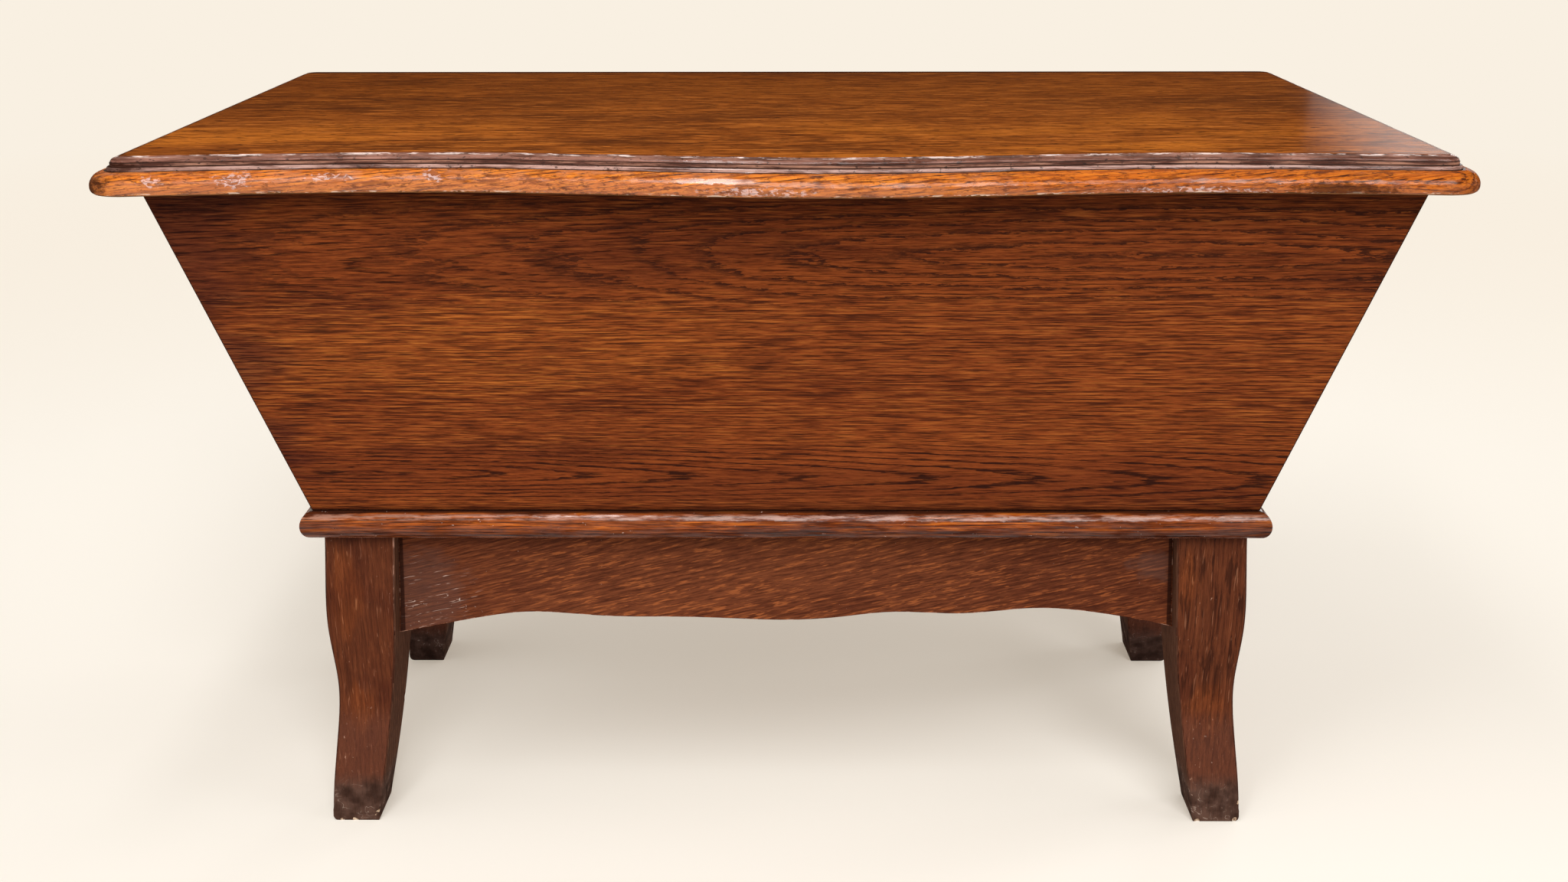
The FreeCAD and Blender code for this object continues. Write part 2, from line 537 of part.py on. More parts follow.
def lid_outline(inset, height):
    """Plan of the lid, drawn in by inset on the front and the ends; the back stays straight."""
    half = LID_LENGTH / 2
    stations = front_stations(inset)
    radius = FRONT_CORNER_RADIUS - inset
    edges = [bow(*stations[index], *stations[index + 1]) for index in range(len(stations) - 1)]
    left = V(FRONT_CORNER_RADIUS - half, BOW_CORNER_LEFT - BACK + FRONT_CORNER_RADIUS, 0)
    right = V(half - FRONT_CORNER_RADIUS, BOW_CORNER_RIGHT - BACK + FRONT_CORNER_RADIUS, 0)
    down = 1.5 * math.pi
    edges.append(round_corner(right, radius, down + math.atan(BOW_SLOPE_RIGHT), 2 * math.pi))
    back_y = BACK - (BACK_CORNER_RADIUS - MOULD_TOP[0])
    back_radius = BACK_CORNER_RADIUS - inset
    turn = math.asin(min(1.0, (BACK - back_y) / back_radius))
    back_right = V(half - BACK_CORNER_RADIUS, back_y, 0)
    back_left = V(BACK_CORNER_RADIUS - half, back_y, 0)
    edges.append(Part.makeLine(right + V(radius, 0, 0), back_right + V(back_radius, 0, 0)))
    edges.append(round_corner(back_right, back_radius, 0, turn))
    edges.append(Part.makeLine(edges[-1].Vertexes[-1].Point, V(-edges[-1].Vertexes[-1].Point.x, BACK, 0)))
    edges.append(round_corner(back_left, back_radius, math.pi - turn, math.pi))
    edges.append(Part.makeLine(back_left - V(back_radius, 0, 0), left - V(radius, 0, 0)))
    edges.append(round_corner(left, radius, math.pi, down + math.atan(BOW_SLOPE_LEFT)))
    wire = Part.Wire(Part.__sortEdges__(edges))
    wire.translate(V(0, 0, RIM_Z + height))
    return wire


def quarter(start, end, rising):
    """Run and height along a quarter ellipse; rising ones leave the start upwards."""
    steps = []
    for index in range(MOULD_SECTIONS + 1):
        angle = index / MOULD_SECTIONS * math.pi / 2
        run, lift = (1 - math.cos(angle), math.sin(angle)) if rising else (math.sin(angle), 1 - math.cos(angle))
        steps.append((start[0] + (end[0] - start[0]) * run, start[1] + (end[1] - start[1]) * lift))
    return steps


def lid_blank():
    """The whole lid: level slices of the moulded edge, stacked from the underside up."""
    belly = (0.0, MOULD_BELLY)
    bead = (MOULD_BEAD_RUN, MOULD_OVOLO[1])
    fillet = (MOULD_FILLET[0], MOULD_BEAD[1])
    upper = (MOULD_ROUND_RUN, MOULD_FILLET[1])
    slices = [quarter((MOULD_FOOT[0], 0.0), (0.0, MOULD_FOOT[1]), False), [(0.0, MOULD_FOOT[1]), belly],
              quarter(belly, MOULD_OVOLO, True), quarter(bead, MOULD_BEAD, True), [fillet, MOULD_FILLET],
              quarter(upper, MOULD_TOP, True), [MOULD_TOP, (MOULD_TOP[0], LID_THICKNESS)]]
    made = [Part.makeLoft([lid_outline(*place) for place in steps], True, len(steps) == 2) for steps in slices]
    return made[0].fuse(made[1:]).removeSplitter()


def tongue(y):
    half = LID_LENGTH / 2 - TONGUE_STOP
    middle = RIM_Z + LID_THICKNESS / 2
    return box(-half, half, y - TONGUE_WIDTH / 2, y + TONGUE_WIDTH / 2,
               middle - TONGUE_THICKNESS / 2, middle + TONGUE_THICKNESS / 2)


def tongue_groove(y):
    solid = tongue(y)
    bounds = solid.BoundBox
    return box(bounds.XMin - TONGUE_FIT, bounds.XMax + TONGUE_FIT, bounds.YMin - TONGUE_FIT,
               bounds.YMax + TONGUE_FIT, bounds.ZMin, bounds.ZMax)


def batten(x):
    """Cross batten under the lid; it drops inside the trough's mouth."""
    low = RIM_Z - BATTEN_THICKNESS
    reach = outer_y(low) - PANEL_Y - BATTEN_CLEARANCE
    half = BATTEN_WIDTH / 2
    return flared((x - half, x + half, BATTEN_BEVEL - reach, reach - BATTEN_BEVEL),
                  (x - half, x + half, -reach, reach), low, RIM_Z)


def batten_screw_heads(x):
    return [V(x, sy * y, RIM_Z - BATTEN_THICKNESS) for y in BATTEN_SCREW_Y for sy in (-1, 1)]


BATTEN_SCREWS, BATTEN_HOLES = screws(batten_screw_heads(-BATTEN_X) + batten_screw_heads(BATTEN_X), V(0, 0, 1),
                                     BATTEN_SCREW_LENGTH, WOOD_SCREW)
for side, right in SIDES.items():
    save("lid_batten_%s" % side, bored(batten(BATTEN_X if right else -BATTEN_X), BATTEN_HOLES))
save("batten_screws", *BATTEN_SCREWS)
save("lid_tongues", tongue(-LID_JOINT_Y), tongue(LID_JOINT_Y))
LID_CUTS += BATTEN_HOLES + [tongue_groove(-LID_JOINT_Y), tongue_groove(LID_JOINT_Y)]
LID = lid_blank()
for name, y0, y1 in (("front", -LID_DEPTH, -LID_JOINT_Y), ("middle", -LID_JOINT_Y, LID_JOINT_Y),
                     ("back", LID_JOINT_Y, LID_DEPTH)):
    strip = box(-LID_LENGTH, LID_LENGTH, y0, y1, RIM_Z - 1.0, RIM_Z + LID_THICKNESS + 1.0)
    save("lid_board_%s" % name, bored(LID.common(strip), LID_CUTS))
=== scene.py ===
import math

import bmesh
import bpy
from mathutils import Matrix, Vector


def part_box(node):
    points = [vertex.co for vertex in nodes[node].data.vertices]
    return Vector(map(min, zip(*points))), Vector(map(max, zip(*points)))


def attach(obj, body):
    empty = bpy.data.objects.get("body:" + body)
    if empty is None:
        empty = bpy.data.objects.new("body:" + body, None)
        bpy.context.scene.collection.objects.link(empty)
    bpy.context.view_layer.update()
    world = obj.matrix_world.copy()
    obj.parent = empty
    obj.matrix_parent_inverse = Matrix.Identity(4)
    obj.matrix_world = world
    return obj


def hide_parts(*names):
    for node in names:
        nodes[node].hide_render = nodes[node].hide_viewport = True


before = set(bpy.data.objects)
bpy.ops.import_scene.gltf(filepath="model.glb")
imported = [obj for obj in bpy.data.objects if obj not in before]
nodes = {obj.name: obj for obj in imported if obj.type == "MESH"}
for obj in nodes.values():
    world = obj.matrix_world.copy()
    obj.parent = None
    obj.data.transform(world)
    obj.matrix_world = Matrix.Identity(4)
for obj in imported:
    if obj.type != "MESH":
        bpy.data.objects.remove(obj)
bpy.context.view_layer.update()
bpy.context.scene.view_settings.view_transform = "Standard"


# ---------------------------------------------------------------- the room
# A plain pale floor, a cream world, a softbox above the front and broad soft fill.
# The camera stands in front of the chest, a little above the lid.
def tint(red, green, blue):
    """Display colour 0-255 as the linear colour that Blender's sockets take."""
    linear = [((c / 255 + 0.055) / 1.055) ** 2.4 if c > 10 else c / 255 / 12.92 for c in (red, green, blue)]
    return (*linear, 1.0)


def feed(tree, made, inputs):
    """Give a node its inputs. Each is a value or another node's socket."""
    for key, value in inputs.items():
        if isinstance(value, bpy.types.NodeSocket):
            tree.links.new(value, made.inputs[key])
        else:
            made.inputs[key].default_value = value


def put(tree, kind, inputs=None, **settings):
    """Add a shader node."""
    made = tree.nodes.new("ShaderNode" + kind)
    for name, value in settings.items():
        setattr(made, name, value)
    feed(tree, made, inputs or {})
    return made


def calc(tree, operation, *values):
    """A Math node's result."""
    return put(tree, "Math", dict(enumerate(values)), operation=operation).outputs[0]


def times(tree, first, second):
    return calc(tree, "MULTIPLY", first, second)


def vectors(tree, operation, *values):
    """A Vector Math node's result: the length for LENGTH, else a vector."""
    made = put(tree, "VectorMath", dict(enumerate(values)), operation=operation)
    return made.outputs["Value" if operation == "LENGTH" else "Vector"]


FLOOR_LIT = tint(251, 248, 242)
FLOOR_SHADE = tint(255, 238, 214)
FAR_CREAM = tint(249, 240, 226)
FLOOR_REACH = 30.0
SHEET_EDGE, FAR_WALL = 1.6, 5.0    # the floor fades to the far cream between these distances

world = bpy.data.worlds.new("pale_room")
bpy.context.scene.world = world
world.use_nodes = True
sky = world.node_tree
sky.nodes.clear()
rays = put(sky, "LightPath")
seen = calc(sky, "MAXIMUM", rays.outputs["Is Camera Ray"], rays.outputs["Is Glossy Ray"])
seen = calc(sky, "MAXIMUM", seen, rays.outputs["Is Transmission Ray"])
ambient = put(sky, "Background", {"Color": tint(255, 252, 246), "Strength": 0.33})
shown = put(sky, "Background", {"Color": FAR_CREAM, "Strength": 1.0})
either = put(sky, "MixShader", {0: seen, 1: ambient.outputs[0], 2: shown.outputs[0]})
put(sky, "OutputWorld", {"Surface": either.outputs[0]})

bpy.ops.mesh.primitive_circle_add(vertices=96, radius=FLOOR_REACH, fill_type="NGON", location=(0, 0, 0))
floor = bpy.context.object
floor.name = "floor"
paper = bpy.data.materials.new("floor_paper")
paper.use_nodes = True
tree = paper.node_tree
looked_at = put(tree, "LightPath").outputs["Is Camera Ray"]
spot = put(tree, "TexCoord").outputs["Object"]
away = vectors(tree, "LENGTH", spot)
away = put(tree, "MapRange", {"Value": away, "From Min": SHEET_EDGE, "From Max": FAR_WALL}).outputs[0]
glow = put(tree, "MapRange", {"Value": away, "To Min": 0.30, "To Max": 1.0}).outputs[0]
glow = times(tree, glow, looked_at)
matt = calc(tree, "SUBTRACT", 1.0, glow)
matt = put(tree, "VectorMath", {0: FLOOR_LIT[:3], "Scale": matt}, operation="SCALE").outputs[0]
shade = put(tree, "Mix", {0: away, 6: FLOOR_SHADE, 7: FAR_CREAM}, data_type="RGBA").outputs[2]
feed(tree, tree.nodes["Principled BSDF"],
     {"Base Color": matt, "Emission Color": shade, "Emission Strength": glow, "Roughness": 0.9,
      "Specular IOR Level": 0.0})
floor.data.materials.append(paper)


def add_lamp(name, kind, place, towards, power):
    """Add a lamp that points towards a direction, and return its settings."""
    lamp = bpy.data.lights.new(name, kind)
    lamp.energy = power
    made = bpy.data.objects.new(name, lamp)
    made.location = place
    made.rotation_euler = Vector(towards).to_track_quat("-Z", "Y").to_euler()
    bpy.context.scene.collection.objects.link(made)
    return lamp


def area_lamp(name, place, target, size, power, spread=180.0):
    lamp = add_lamp(name, "AREA", place, Vector(target) - Vector(place), power)
    lamp.shape = "RECTANGLE"
    lamp.size, lamp.size_y = size
    lamp.spread = math.radians(spread)


def sun_lamp(name, towards, spread, strength):
    lamp = add_lamp(name, "SUN", (0, 0, 0), towards, strength)
    lamp.angle = math.radians(spread)


# Places, targets and sizes are in metres, powers in watts and spreads in degrees.
area_lamp("softbox", (-0.30, -1.45, 2.75), (0, 0, 0.55), (1.2, 0.8), 11.0)
area_lamp("roof_strip", (-0.42, -1.00, 2.6), (-0.30, -0.2, 0.7), (0.24, 1.5), 14.0)
area_lamp("rear_strip", (2.5, 3.6, 1.45), (0.45, 0, 0.75), (1.7, 1.1), 2.6, spread=40.0)
area_lamp("side_window", (3.7, 1.1, 1.65), (0.5, -0.2, 0.7), (0.5, 0.5), 7.0)
sun_lamp("broad_fill", (-0.20, 1.0, -0.85), 34.0, 1.62)
sun_lamp("right_fill", (-1.0, -0.10, -0.55), 60.0, 0.85)
sun_lamp("left_fill", (1.0, 0.35, -0.55), 60.0, 0.55)

# The camera is rolled, tilted, then turned. Its lens and sensor are in millimetres.
CAMERA_PLACE = (0.0085, -1.8095, 0.9815)
TURN, TILT, ROLL = math.radians(0.343), math.radians(71.0), math.radians(-0.09)
LENS, SENSOR = 38.672, 36.0
camera = bpy.data.objects.new("camera", bpy.data.cameras.new("camera"))
bpy.context.scene.collection.objects.link(camera)
bpy.context.scene.camera = camera
camera.data.sensor_width = SENSOR
camera.data.lens = LENS
camera.data.clip_end = 100.0
aim = Matrix.Rotation(TURN, 4, "Z") @ Matrix.Rotation(TILT, 4, "X") @ Matrix.Rotation(ROLL, 4, "Z")
camera.matrix_world = Matrix.Translation(CAMERA_PLACE) @ aim


# ---------------------------------------------------------------- oak
# Ring-porous oak, stained and varnished. The board's log runs along X through the
# vector's origin: rings lie round it, pores are short dark streaks along it.
def span(tree, value, low, high, to_low=0.0, to_high=1.0):
    """Smoothly map low..high to to_low..to_high, held at both ends."""
    inputs = {"Value": value, "From Min": low, "From Max": high, "To Min": to_low, "To Max": to_high}
    return put(tree, "MapRange", inputs, interpolation_type="SMOOTHSTEP").outputs[0]


def between(tree, value, low, high, soft):
    """1 from low to high, fading to 0 over soft on either side."""
    return times(tree, span(tree, value, low - soft, low), span(tree, value, high + soft, high))


def mixed(tree, factor, first, second, mode="MIX"):
    """Mix two colours, or two plain values or masks."""
    plain = all(isinstance(value, (int, float)) or getattr(value, "type", "") == "VALUE"
                for value in (first, second))
    settings = {"data_type": "FLOAT"} if plain else {"data_type": "RGBA", "blend_type": mode}
    made = put(tree, "Mix", dict(zip((0, 2, 3) if plain else (0, 6, 7), (factor, first, second))), **settings)
    return made.outputs[0 if plain else 2]


def laid(tree, colour, value, low, high, amount, shade):
    """Lay a shade over a colour: none of it where the value is low, that amount where it is high."""
    return mixed(tree, span(tree, value, low, high, 0.0, amount), colour, shade)


def toned(tree, mask, colour, factors):
    """Multiply a colour's red, green and blue by factors where the mask is 1."""
    return mixed(tree, mask, colour, (*factors, 1.0), "MULTIPLY")


def parts(tree, vector):
    """A vector's X, Y and Z."""
    return put(tree, "SeparateXYZ", {0: vector}).outputs


def stretched(tree, vector, scale, coloured=False, **settings):
    """Noise with that many cells per metre along each axis."""
    inputs = {"Vector": vectors(tree, "MULTIPLY", vector, scale), "Scale": 1.0}
    inputs.update({key.capitalize(): value for key, value in settings.items()})
    return put(tree, "TexNoise", inputs).outputs["Color" if coloured else "Fac"]


def sway(tree, vector, scale, amount, **settings):
    """A smooth random shift, up to half of amount either way along each axis."""
    noise = stretched(tree, vector, scale, coloured=True, **settings)
    return vectors(tree, "MULTIPLY", vectors(tree, "SUBTRACT", noise, (0.5, 0.5, 0.5)), amount)


def new_group(name, inputs, outputs):
    """New node group: its tree, and its inputs and outputs as the nodes inside see them."""
    tree = bpy.data.node_groups.new(name, "ShaderNodeTree")
    for label, kind, value in inputs:
        socket = tree.interface.new_socket(name=label, in_out="INPUT", socket_type="NodeSocket" + kind)
        if value is not None:
            socket.default_value = value
    for label, kind in outputs:
        tree.interface.new_socket(name=label, in_out="OUTPUT", socket_type="NodeSocket" + kind)
    return tree, tree.nodes.new("NodeGroupInput").outputs, tree.nodes.new("NodeGroupOutput").inputs


oak, given, result = new_group(
    "stained_oak",
    [("Vector", "Vector", None), ("Pale", "Color", None), ("Middle", "Color", None), ("Deep", "Color", None),
     ("Pore", "Color", None), ("Ring Spacing", "Float", 0.007), ("Wander", "Float", 0.04),
     ("Ring Strength", "Float", 0.6), ("Pore Strength", "Float", 0.7), ("Pore Length", "Float", 1.0)],
    [("Color", "Color"), ("Height", "Float"), ("Rings", "Float")])
# The log wanders slowly and ripples finely, so its rings are never true circles.
RIPPLE = 0.0022
wander = put(oak, "CombineXYZ", {1: given["Wander"], 2: given["Wander"]}).outputs[0]
drift = sway(oak, given["Vector"], (1.3, 3.0, 3.0), wander, detail=1.5, roughness=0.5)
ripple = sway(oak, given["Vector"], (9.0, 26.0, 26.0), (0.0, RIPPLE, RIPPLE), detail=2.0)
log = vectors(oak, "ADD", vectors(oak, "ADD", given["Vector"], drift), ripple)
radius = vectors(oak, "LENGTH", vectors(oak, "MULTIPLY", log, (0.0, 1.0, 1.0)))
# Early wood is the porous start of each year's ring, frayed along the fibres.
uneven = stretched(oak, log, (1.6, 60.0, 60.0), detail=1.0)
fibre = stretched(oak, log, (26.0, 500.0, 500.0), detail=2.5, roughness=0.6)
frayed = calc(oak, "ADD", times(oak, uneven, 0.5), times(oak, fibre, 0.7))
phase = calc(oak, "FRACT", calc(oak, "ADD", calc(oak, "DIVIDE", radius, given["Ring Spacing"]), frayed))
early = calc(oak, "MAXIMUM", span(oak, phase, 0.34, 0.03), span(oak, phase, 0.92, 1.0))
thin = stretched(oak, log, (5.0, 24.0, 24.0), detail=1.0)
early = times(oak, early, span(oak, thin, 0.30, 0.58, 0.4, 1.0))
# Pores crowd in the early wood: long dashes, with fine specks everywhere.
pore_scale = calc(oak, "DIVIDE", 34.0, given["Pore Length"])
pore_scale = put(oak, "CombineXYZ", {0: pore_scale, 1: 760.0, 2: 760.0}).outputs[0]
coarse = stretched(oak, log, pore_scale, detail=1.0, roughness=0.4)
fine = stretched(oak, log, (75.0, 1500.0, 1500.0), detail=1.0)
edge = calc(oak, "SUBTRACT", 0.66, times(oak, early, 0.27))
dashes = put(oak, "Clamp", {0: times(oak, calc(oak, "SUBTRACT", coarse, edge), 7.0)}).outputs[0]
specks = span(oak, fine, 0.56, 0.72, 0.0, 0.5)
pores = put(oak, "Clamp", {0: calc(oak, "ADD", dashes, specks)}).outputs[0]
# Broad pale zones, then pale and dark fibres, rings and pores, one over the other.
patch = stretched(oak, log, (2.2, 15.0, 15.0), detail=2.0)
colour = mixed(oak, span(oak, patch, 0.36, 0.64, 0.0, 0.5), given["Middle"], given["Pale"])
colour = laid(oak, colour, fibre, 0.47, 0.66, 0.8, given["Pale"])
colour = laid(oak, colour, fibre, 0.50, 0.35, 0.7, given["Deep"])
colour = mixed(oak, times(oak, early, given["Ring Strength"]), colour, given["Deep"])
colour = mixed(oak, times(oak, pores, given["Pore Strength"]), colour, given["Pore"])
oak.links.new(colour, result["Color"])
oak.links.new(early, result["Rings"])
oak.links.new(calc(oak, "SUBTRACT", times(oak, fibre, 0.25), pores), result["Height"])


def log_space(tree, where, log_place, log_turn):
    """Places measured from a log's heart at log_place, turned by log_turn degrees."""
    values = {"Vector": where, "Location": log_place, "Rotation": [math.radians(turn) for turn in log_turn]}
    return put(tree, "Mapping", values, vector_type="TEXTURE").outputs[0]


def sawn_oak(tree, along, palette, spacing=0.0045, wander=0.03, rings=0.6, pores=0.75, pore_length=1.0):
    """Oak over places in log space, with a colour, a height and rings."""
    values = {"Vector": along, "Ring Spacing": spacing, "Wander": wander, "Ring Strength": rings,
              "Pore Strength": pores, "Pore Length": pore_length}
    values.update(zip(("Pale", "Middle", "Deep", "Pore"), palette))
    return put(tree, "Group", values, node_tree=oak)


def oak_surface(name, log_place, log_turn, palette, **cut):
    """New material of oak: the material, its tree, places, log space and oak node."""
    material = bpy.data.materials.new(name)
    material.use_nodes = True
    tree = material.node_tree
    where = put(tree, "TexCoord").outputs["Object"]
    along = log_space(tree, where, log_place, log_turn)
    return material, tree, where, along, sawn_oak(tree, along, palette, **cut)


def varnish(tree, colour, height, rough, coat=0.0, coat_rough=0.2, relief=0.0003):
    """Feed the material's shader. The coat's weight is a mask or a number."""
    bump = put(tree, "Bump", {"Height": height, "Distance": relief, "Strength": 1.0})
    feed(tree, tree.nodes["Principled BSDF"],
         {"Base Color": colour, "Normal": bump.outputs[0], "Roughness": rough, "Specular IOR Level": 0.0,
          "Coat Weight": coat, "Coat Roughness": coat_rough})


# A rubbed or stained patch: a soft ellipsoid with a frayed edge, given in the chest's
# own coordinates. Flecks are small chips of finish, scattered by noise.
rubbed, given, result = new_group(
    "rubbed_patch",
    [("Vector", "Vector", None), ("Centre", "Vector", None), ("Size", "Vector", None), ("Fray", "Float", 0.8),
     ("Grain", "Vector", None)],
    [("Mask", "Float")])
offset = vectors(rubbed, "SUBTRACT", given["Vector"], given["Centre"])
reach = vectors(rubbed, "LENGTH", vectors(rubbed, "DIVIDE", offset, given["Size"]))
torn = stretched(rubbed, given["Vector"], given["Grain"], detail=4.0, roughness=0.6)
torn = times(rubbed, calc(rubbed, "SUBTRACT", torn, 0.5), given["Fray"])
mask = span(rubbed, calc(rubbed, "ADD", reach, times(rubbed, torn, 2.0)), 1.0, 0.5)
rubbed.links.new(mask, result["Mask"])

flecks, given, result = new_group(
    "flecks",
    [("Vector", "Vector", None), ("Grain", "Vector", None), ("Share", "Float", 0.1)],
    [("Mask", "Float")])
fine = stretched(flecks, given["Vector"], given["Grain"], detail=3.0, roughness=0.65)
level = calc(flecks, "SUBTRACT", 0.78, times(flecks, given["Share"], 0.5))
mask = put(flecks, "Clamp", {0: times(flecks, calc(flecks, "SUBTRACT", fine, level), 14.0)}).outputs[0]
flecks.links.new(mask, result["Mask"])


def patch_mask(tree, where, middle, half, fray=0.8, grain=(30.0, 60.0, 60.0)):
    """A rubbed patch, given its middle and half its size along each axis."""
    values = {"Vector": where, "Centre": middle, "Size": half, "Fray": fray, "Grain": grain}
    return put(tree, "Group", values, node_tree=rubbed).outputs[0]


def fleck_mask(tree, where, grain, share, within=1.0):
    made = put(tree, "Group", {"Vector": where, "Grain": grain, "Share": share}, node_tree=flecks)
    return times(tree, made.outputs[0], within)


# ---------------------------------------------------------------- eased arrises
# Every arris of the old boards is rubbed round by hands, dusters and brooms. Screw,
# peg and dowel holes and tight joints stay sharp.
HOLE_LENGTH, HOLE_WIDTH = 0.070, 0.016    # every hole is smaller
WELD = 0.00001
FLAT_ANGLE = math.radians(0.4)
ARRIS_ANGLE = math.radians(30)
SMOOTH_ANGLE = math.radians(32)
FACING = 0.7    # least cosine between a face's normal and the inside direction


def bored_faces(shape, sharp):
    """Faces inside holes: smooth patches, spread from face to face, that are short and narrow."""
    left, bored = set(shape.faces), set()
    while left:
        patch, waiting = set(), [left.pop()]
        while waiting:
            face = waiting.pop()
            patch.add(face)
            for edge in face.edges:
                for other in edge.link_faces:
                    if other in left and edge not in sharp:
                        left.discard(other)
                        waiting.append(other)
        corners = [vert.co for face in patch for vert in face.verts]
        spans = [[co[axis] for co in corners] for axis in range(3)]
        sizes = sorted(max(places) - min(places) for places in spans)
        if sizes[2] < HOLE_LENGTH and sizes[1] < HOLE_WIDTH:
            bored |= patch
    return bored


def settle_shading(board):
    """Smooth the roundings and keep the wide faces flat."""
    bpy.context.view_layer.objects.active = board
    board.select_set(True)
    bpy.ops.object.shade_smooth_by_angle(angle=SMOOTH_ANGLE)
    flat = board.modifiers.new("flat_faces", "WEIGHTED_NORMAL")
    flat.mode, flat.weight, flat.keep_sharp = "FACE_AREA", 100, True
    bpy.ops.object.modifier_apply(modifier=flat.name)


def eased_board(node, body, finishes, ease, kept=None, segments=2, inside=None):
    """Stand-in for a board with its sharp arrises rounded, apart from the edges that are kept.

    The first finish covers the faces, the second the roundings and the third the faces
    that look in the inside direction.
    """
    bpy.ops.object.select_all(action="DESELECT")
    made = bpy.data.objects.new("worn_" + node, nodes[node].data.copy())
    bpy.context.scene.collection.objects.link(made)
    bpy.context.view_layer.objects.active = made
    made.select_set(True)
    made.data.materials.clear()
    for finish in finishes:
        made.data.materials.append(finish)
    bpy.ops.object.mode_set(mode="EDIT")
    bpy.ops.mesh.select_all(action="SELECT")
    bpy.ops.mesh.remove_doubles(threshold=WELD)
    bpy.ops.mesh.dissolve_limited(angle_limit=FLAT_ANGLE)
    shape = bmesh.from_edit_mesh(made.data)
    weight = shape.edges.layers.float.new("bevel_weight_edge")
    sharp = {edge for edge in shape.edges if edge.calc_face_angle(0.0) > ARRIS_ANGLE}
    bored = bored_faces(shape, sharp)
    for edge in sharp:
        if edge.is_convex and not bored.intersection(edge.link_faces) and not (kept and kept(edge)):
            edge[weight] = 1.0
    bmesh.update_edit_mesh(made.data)
    bpy.ops.object.mode_set(mode="OBJECT")
    rounding = made.modifiers.new("eased", "BEVEL")
    rounding.limit_method = "WEIGHT"
    rounding.width = ease
    rounding.segments = segments
    rounding.use_clamp_overlap = False
    rounding.material = 1
    bpy.ops.object.modifier_apply(modifier=rounding.name)
    for face in made.data.polygons:
        if inside and face.normal.dot(Vector(inside)) > FACING:
            face.material_index = 2
    settle_shading(made)
    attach(made, body)
    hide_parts(node)
    return made


# ---------------------------------------------------------------- trough
# Four leaning oak boards, dowelled at the corners, with a three-board floor. The outer
# faces are stained red-brown and varnished; the inside is bare oak gone dark.
PANEL_OAK = [tint(138, 68, 30), tint(114, 53, 24), tint(84, 37, 18), tint(37, 16, 10)]
ARRIS_OAK = [tint(66, 38, 28), tint(48, 28, 20), tint(36, 20, 15), tint(24, 13, 10)]
BARE_OAK = [tint(172, 134, 92), tint(150, 112, 74), tint(118, 84, 52), tint(82, 54, 32)]
SEAT, RIM = (corner.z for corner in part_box("front_panel"))
# The front panel's figure: a lower and an upper log, with arched rings in a band of each.
LOG_JOINT = SEAT + 0.153
HALVES = SEAT + 0.093, SEAT + 0.193    # the lower half passes into the upper between these
LOWER_BAND, UPPER_BAND = (SEAT + 0.021, SEAT + 0.067), (SEAT + 0.249, SEAT + 0.305)
# The flame of the upper half: where its arches open, and the height of their axis and of each ring.
FLAME_END, FLAME_AXIS, FLAME_RISE = 0.58, SEAT + 0.278, 0.011
# Golden or dull patches: middle, half sizes, fray, grain, strength and tone.
STAINS = [((-0.30, -0.25, 0.545), (0.27, 0.2, 0.075), 1.4, (3.0, 20.0, 20.0), 0.42, (1.55, 1.75, 1.35)),
          ((-0.59, -0.25, 0.56), (0.13, 0.3, 0.3), 1.2, (4.0, 20.0, 20.0), 0.9, (0.50, 0.52, 0.90)),
          ((0.25, -0.22, 0.375), (0.6, 0.2, 0.045), 1.2, (4.0, 20.0, 20.0), 0.5, (0.66, 0.66, 0.85))]

front_oak, tree, where, upper_log, wood = oak_surface(
    "front_panel_oak", (0.26, -0.2746, 0.632), (0, 0, -2.6), PANEL_OAK, spacing=0.0043, wander=0.012)
lower_log = log_space(tree, where, (-0.46, -0.2242, 0.401), (0, 0, 2.3))
at_x, _, height = parts(tree, where)
upper = calc(tree, "GREATER_THAN", height, LOG_JOINT)
either_log = put(tree, "Mix", {0: upper, 4: lower_log, 5: upper_log}, data_type="VECTOR").outputs[1]
tree.links.new(either_log, wood.inputs["Vector"])
cathedral = calc(tree, "MAXIMUM", between(tree, height, *UPPER_BAND, 0.014),
                 between(tree, height, *LOWER_BAND, 0.012))
fading = stretched(tree, where, (3.5, 20.0, 55.0), detail=2.0)
faint = span(tree, fading, 0.36, 0.62, 0.12, 0.50)
rings = mixed(tree, cathedral, faint, span(tree, height, *HALVES, 0.6, 0.34))
tree.links.new(rings, wood.inputs["Ring Strength"])
tree.links.new(span(tree, cathedral, 0.0, 1.0, 0.62, 0.8), wood.inputs["Pore Strength"])
cloud = stretched(tree, where, (2.6, 8.0, 16.0), detail=4.0, roughness=0.65)
banded = times(tree, cathedral, span(tree, height, *HALVES, 0.35, -0.45))
colour = toned(tree, banded, wood.outputs["Color"], (0.80, 0.72, 0.90))
colour = toned(tree, span(tree, cloud, 0.50, 0.34, 0.0, 0.7), colour, (0.60, 0.60, 0.80))
colour = toned(tree, span(tree, cloud, 0.52, 0.68, 0.0, 0.6), colour, (1.15, 1.18, 1.12))
threads = stretched(tree, where, (24.0, 60.0, 820.0), detail=2.0, roughness=0.6)
plain = calc(tree, "SUBTRACT", 1.0, times(tree, cathedral, 0.7))
pale = times(tree, span(tree, threads, 0.54, 0.66, 0.0, 0.62), plain)
colour = mixed(tree, pale, colour, tint(172, 96, 42))
dark = times(tree, span(tree, threads, 0.47, 0.36, 0.0, 0.85), plain)
colour = mixed(tree, dark, colour, tint(60, 28, 17))
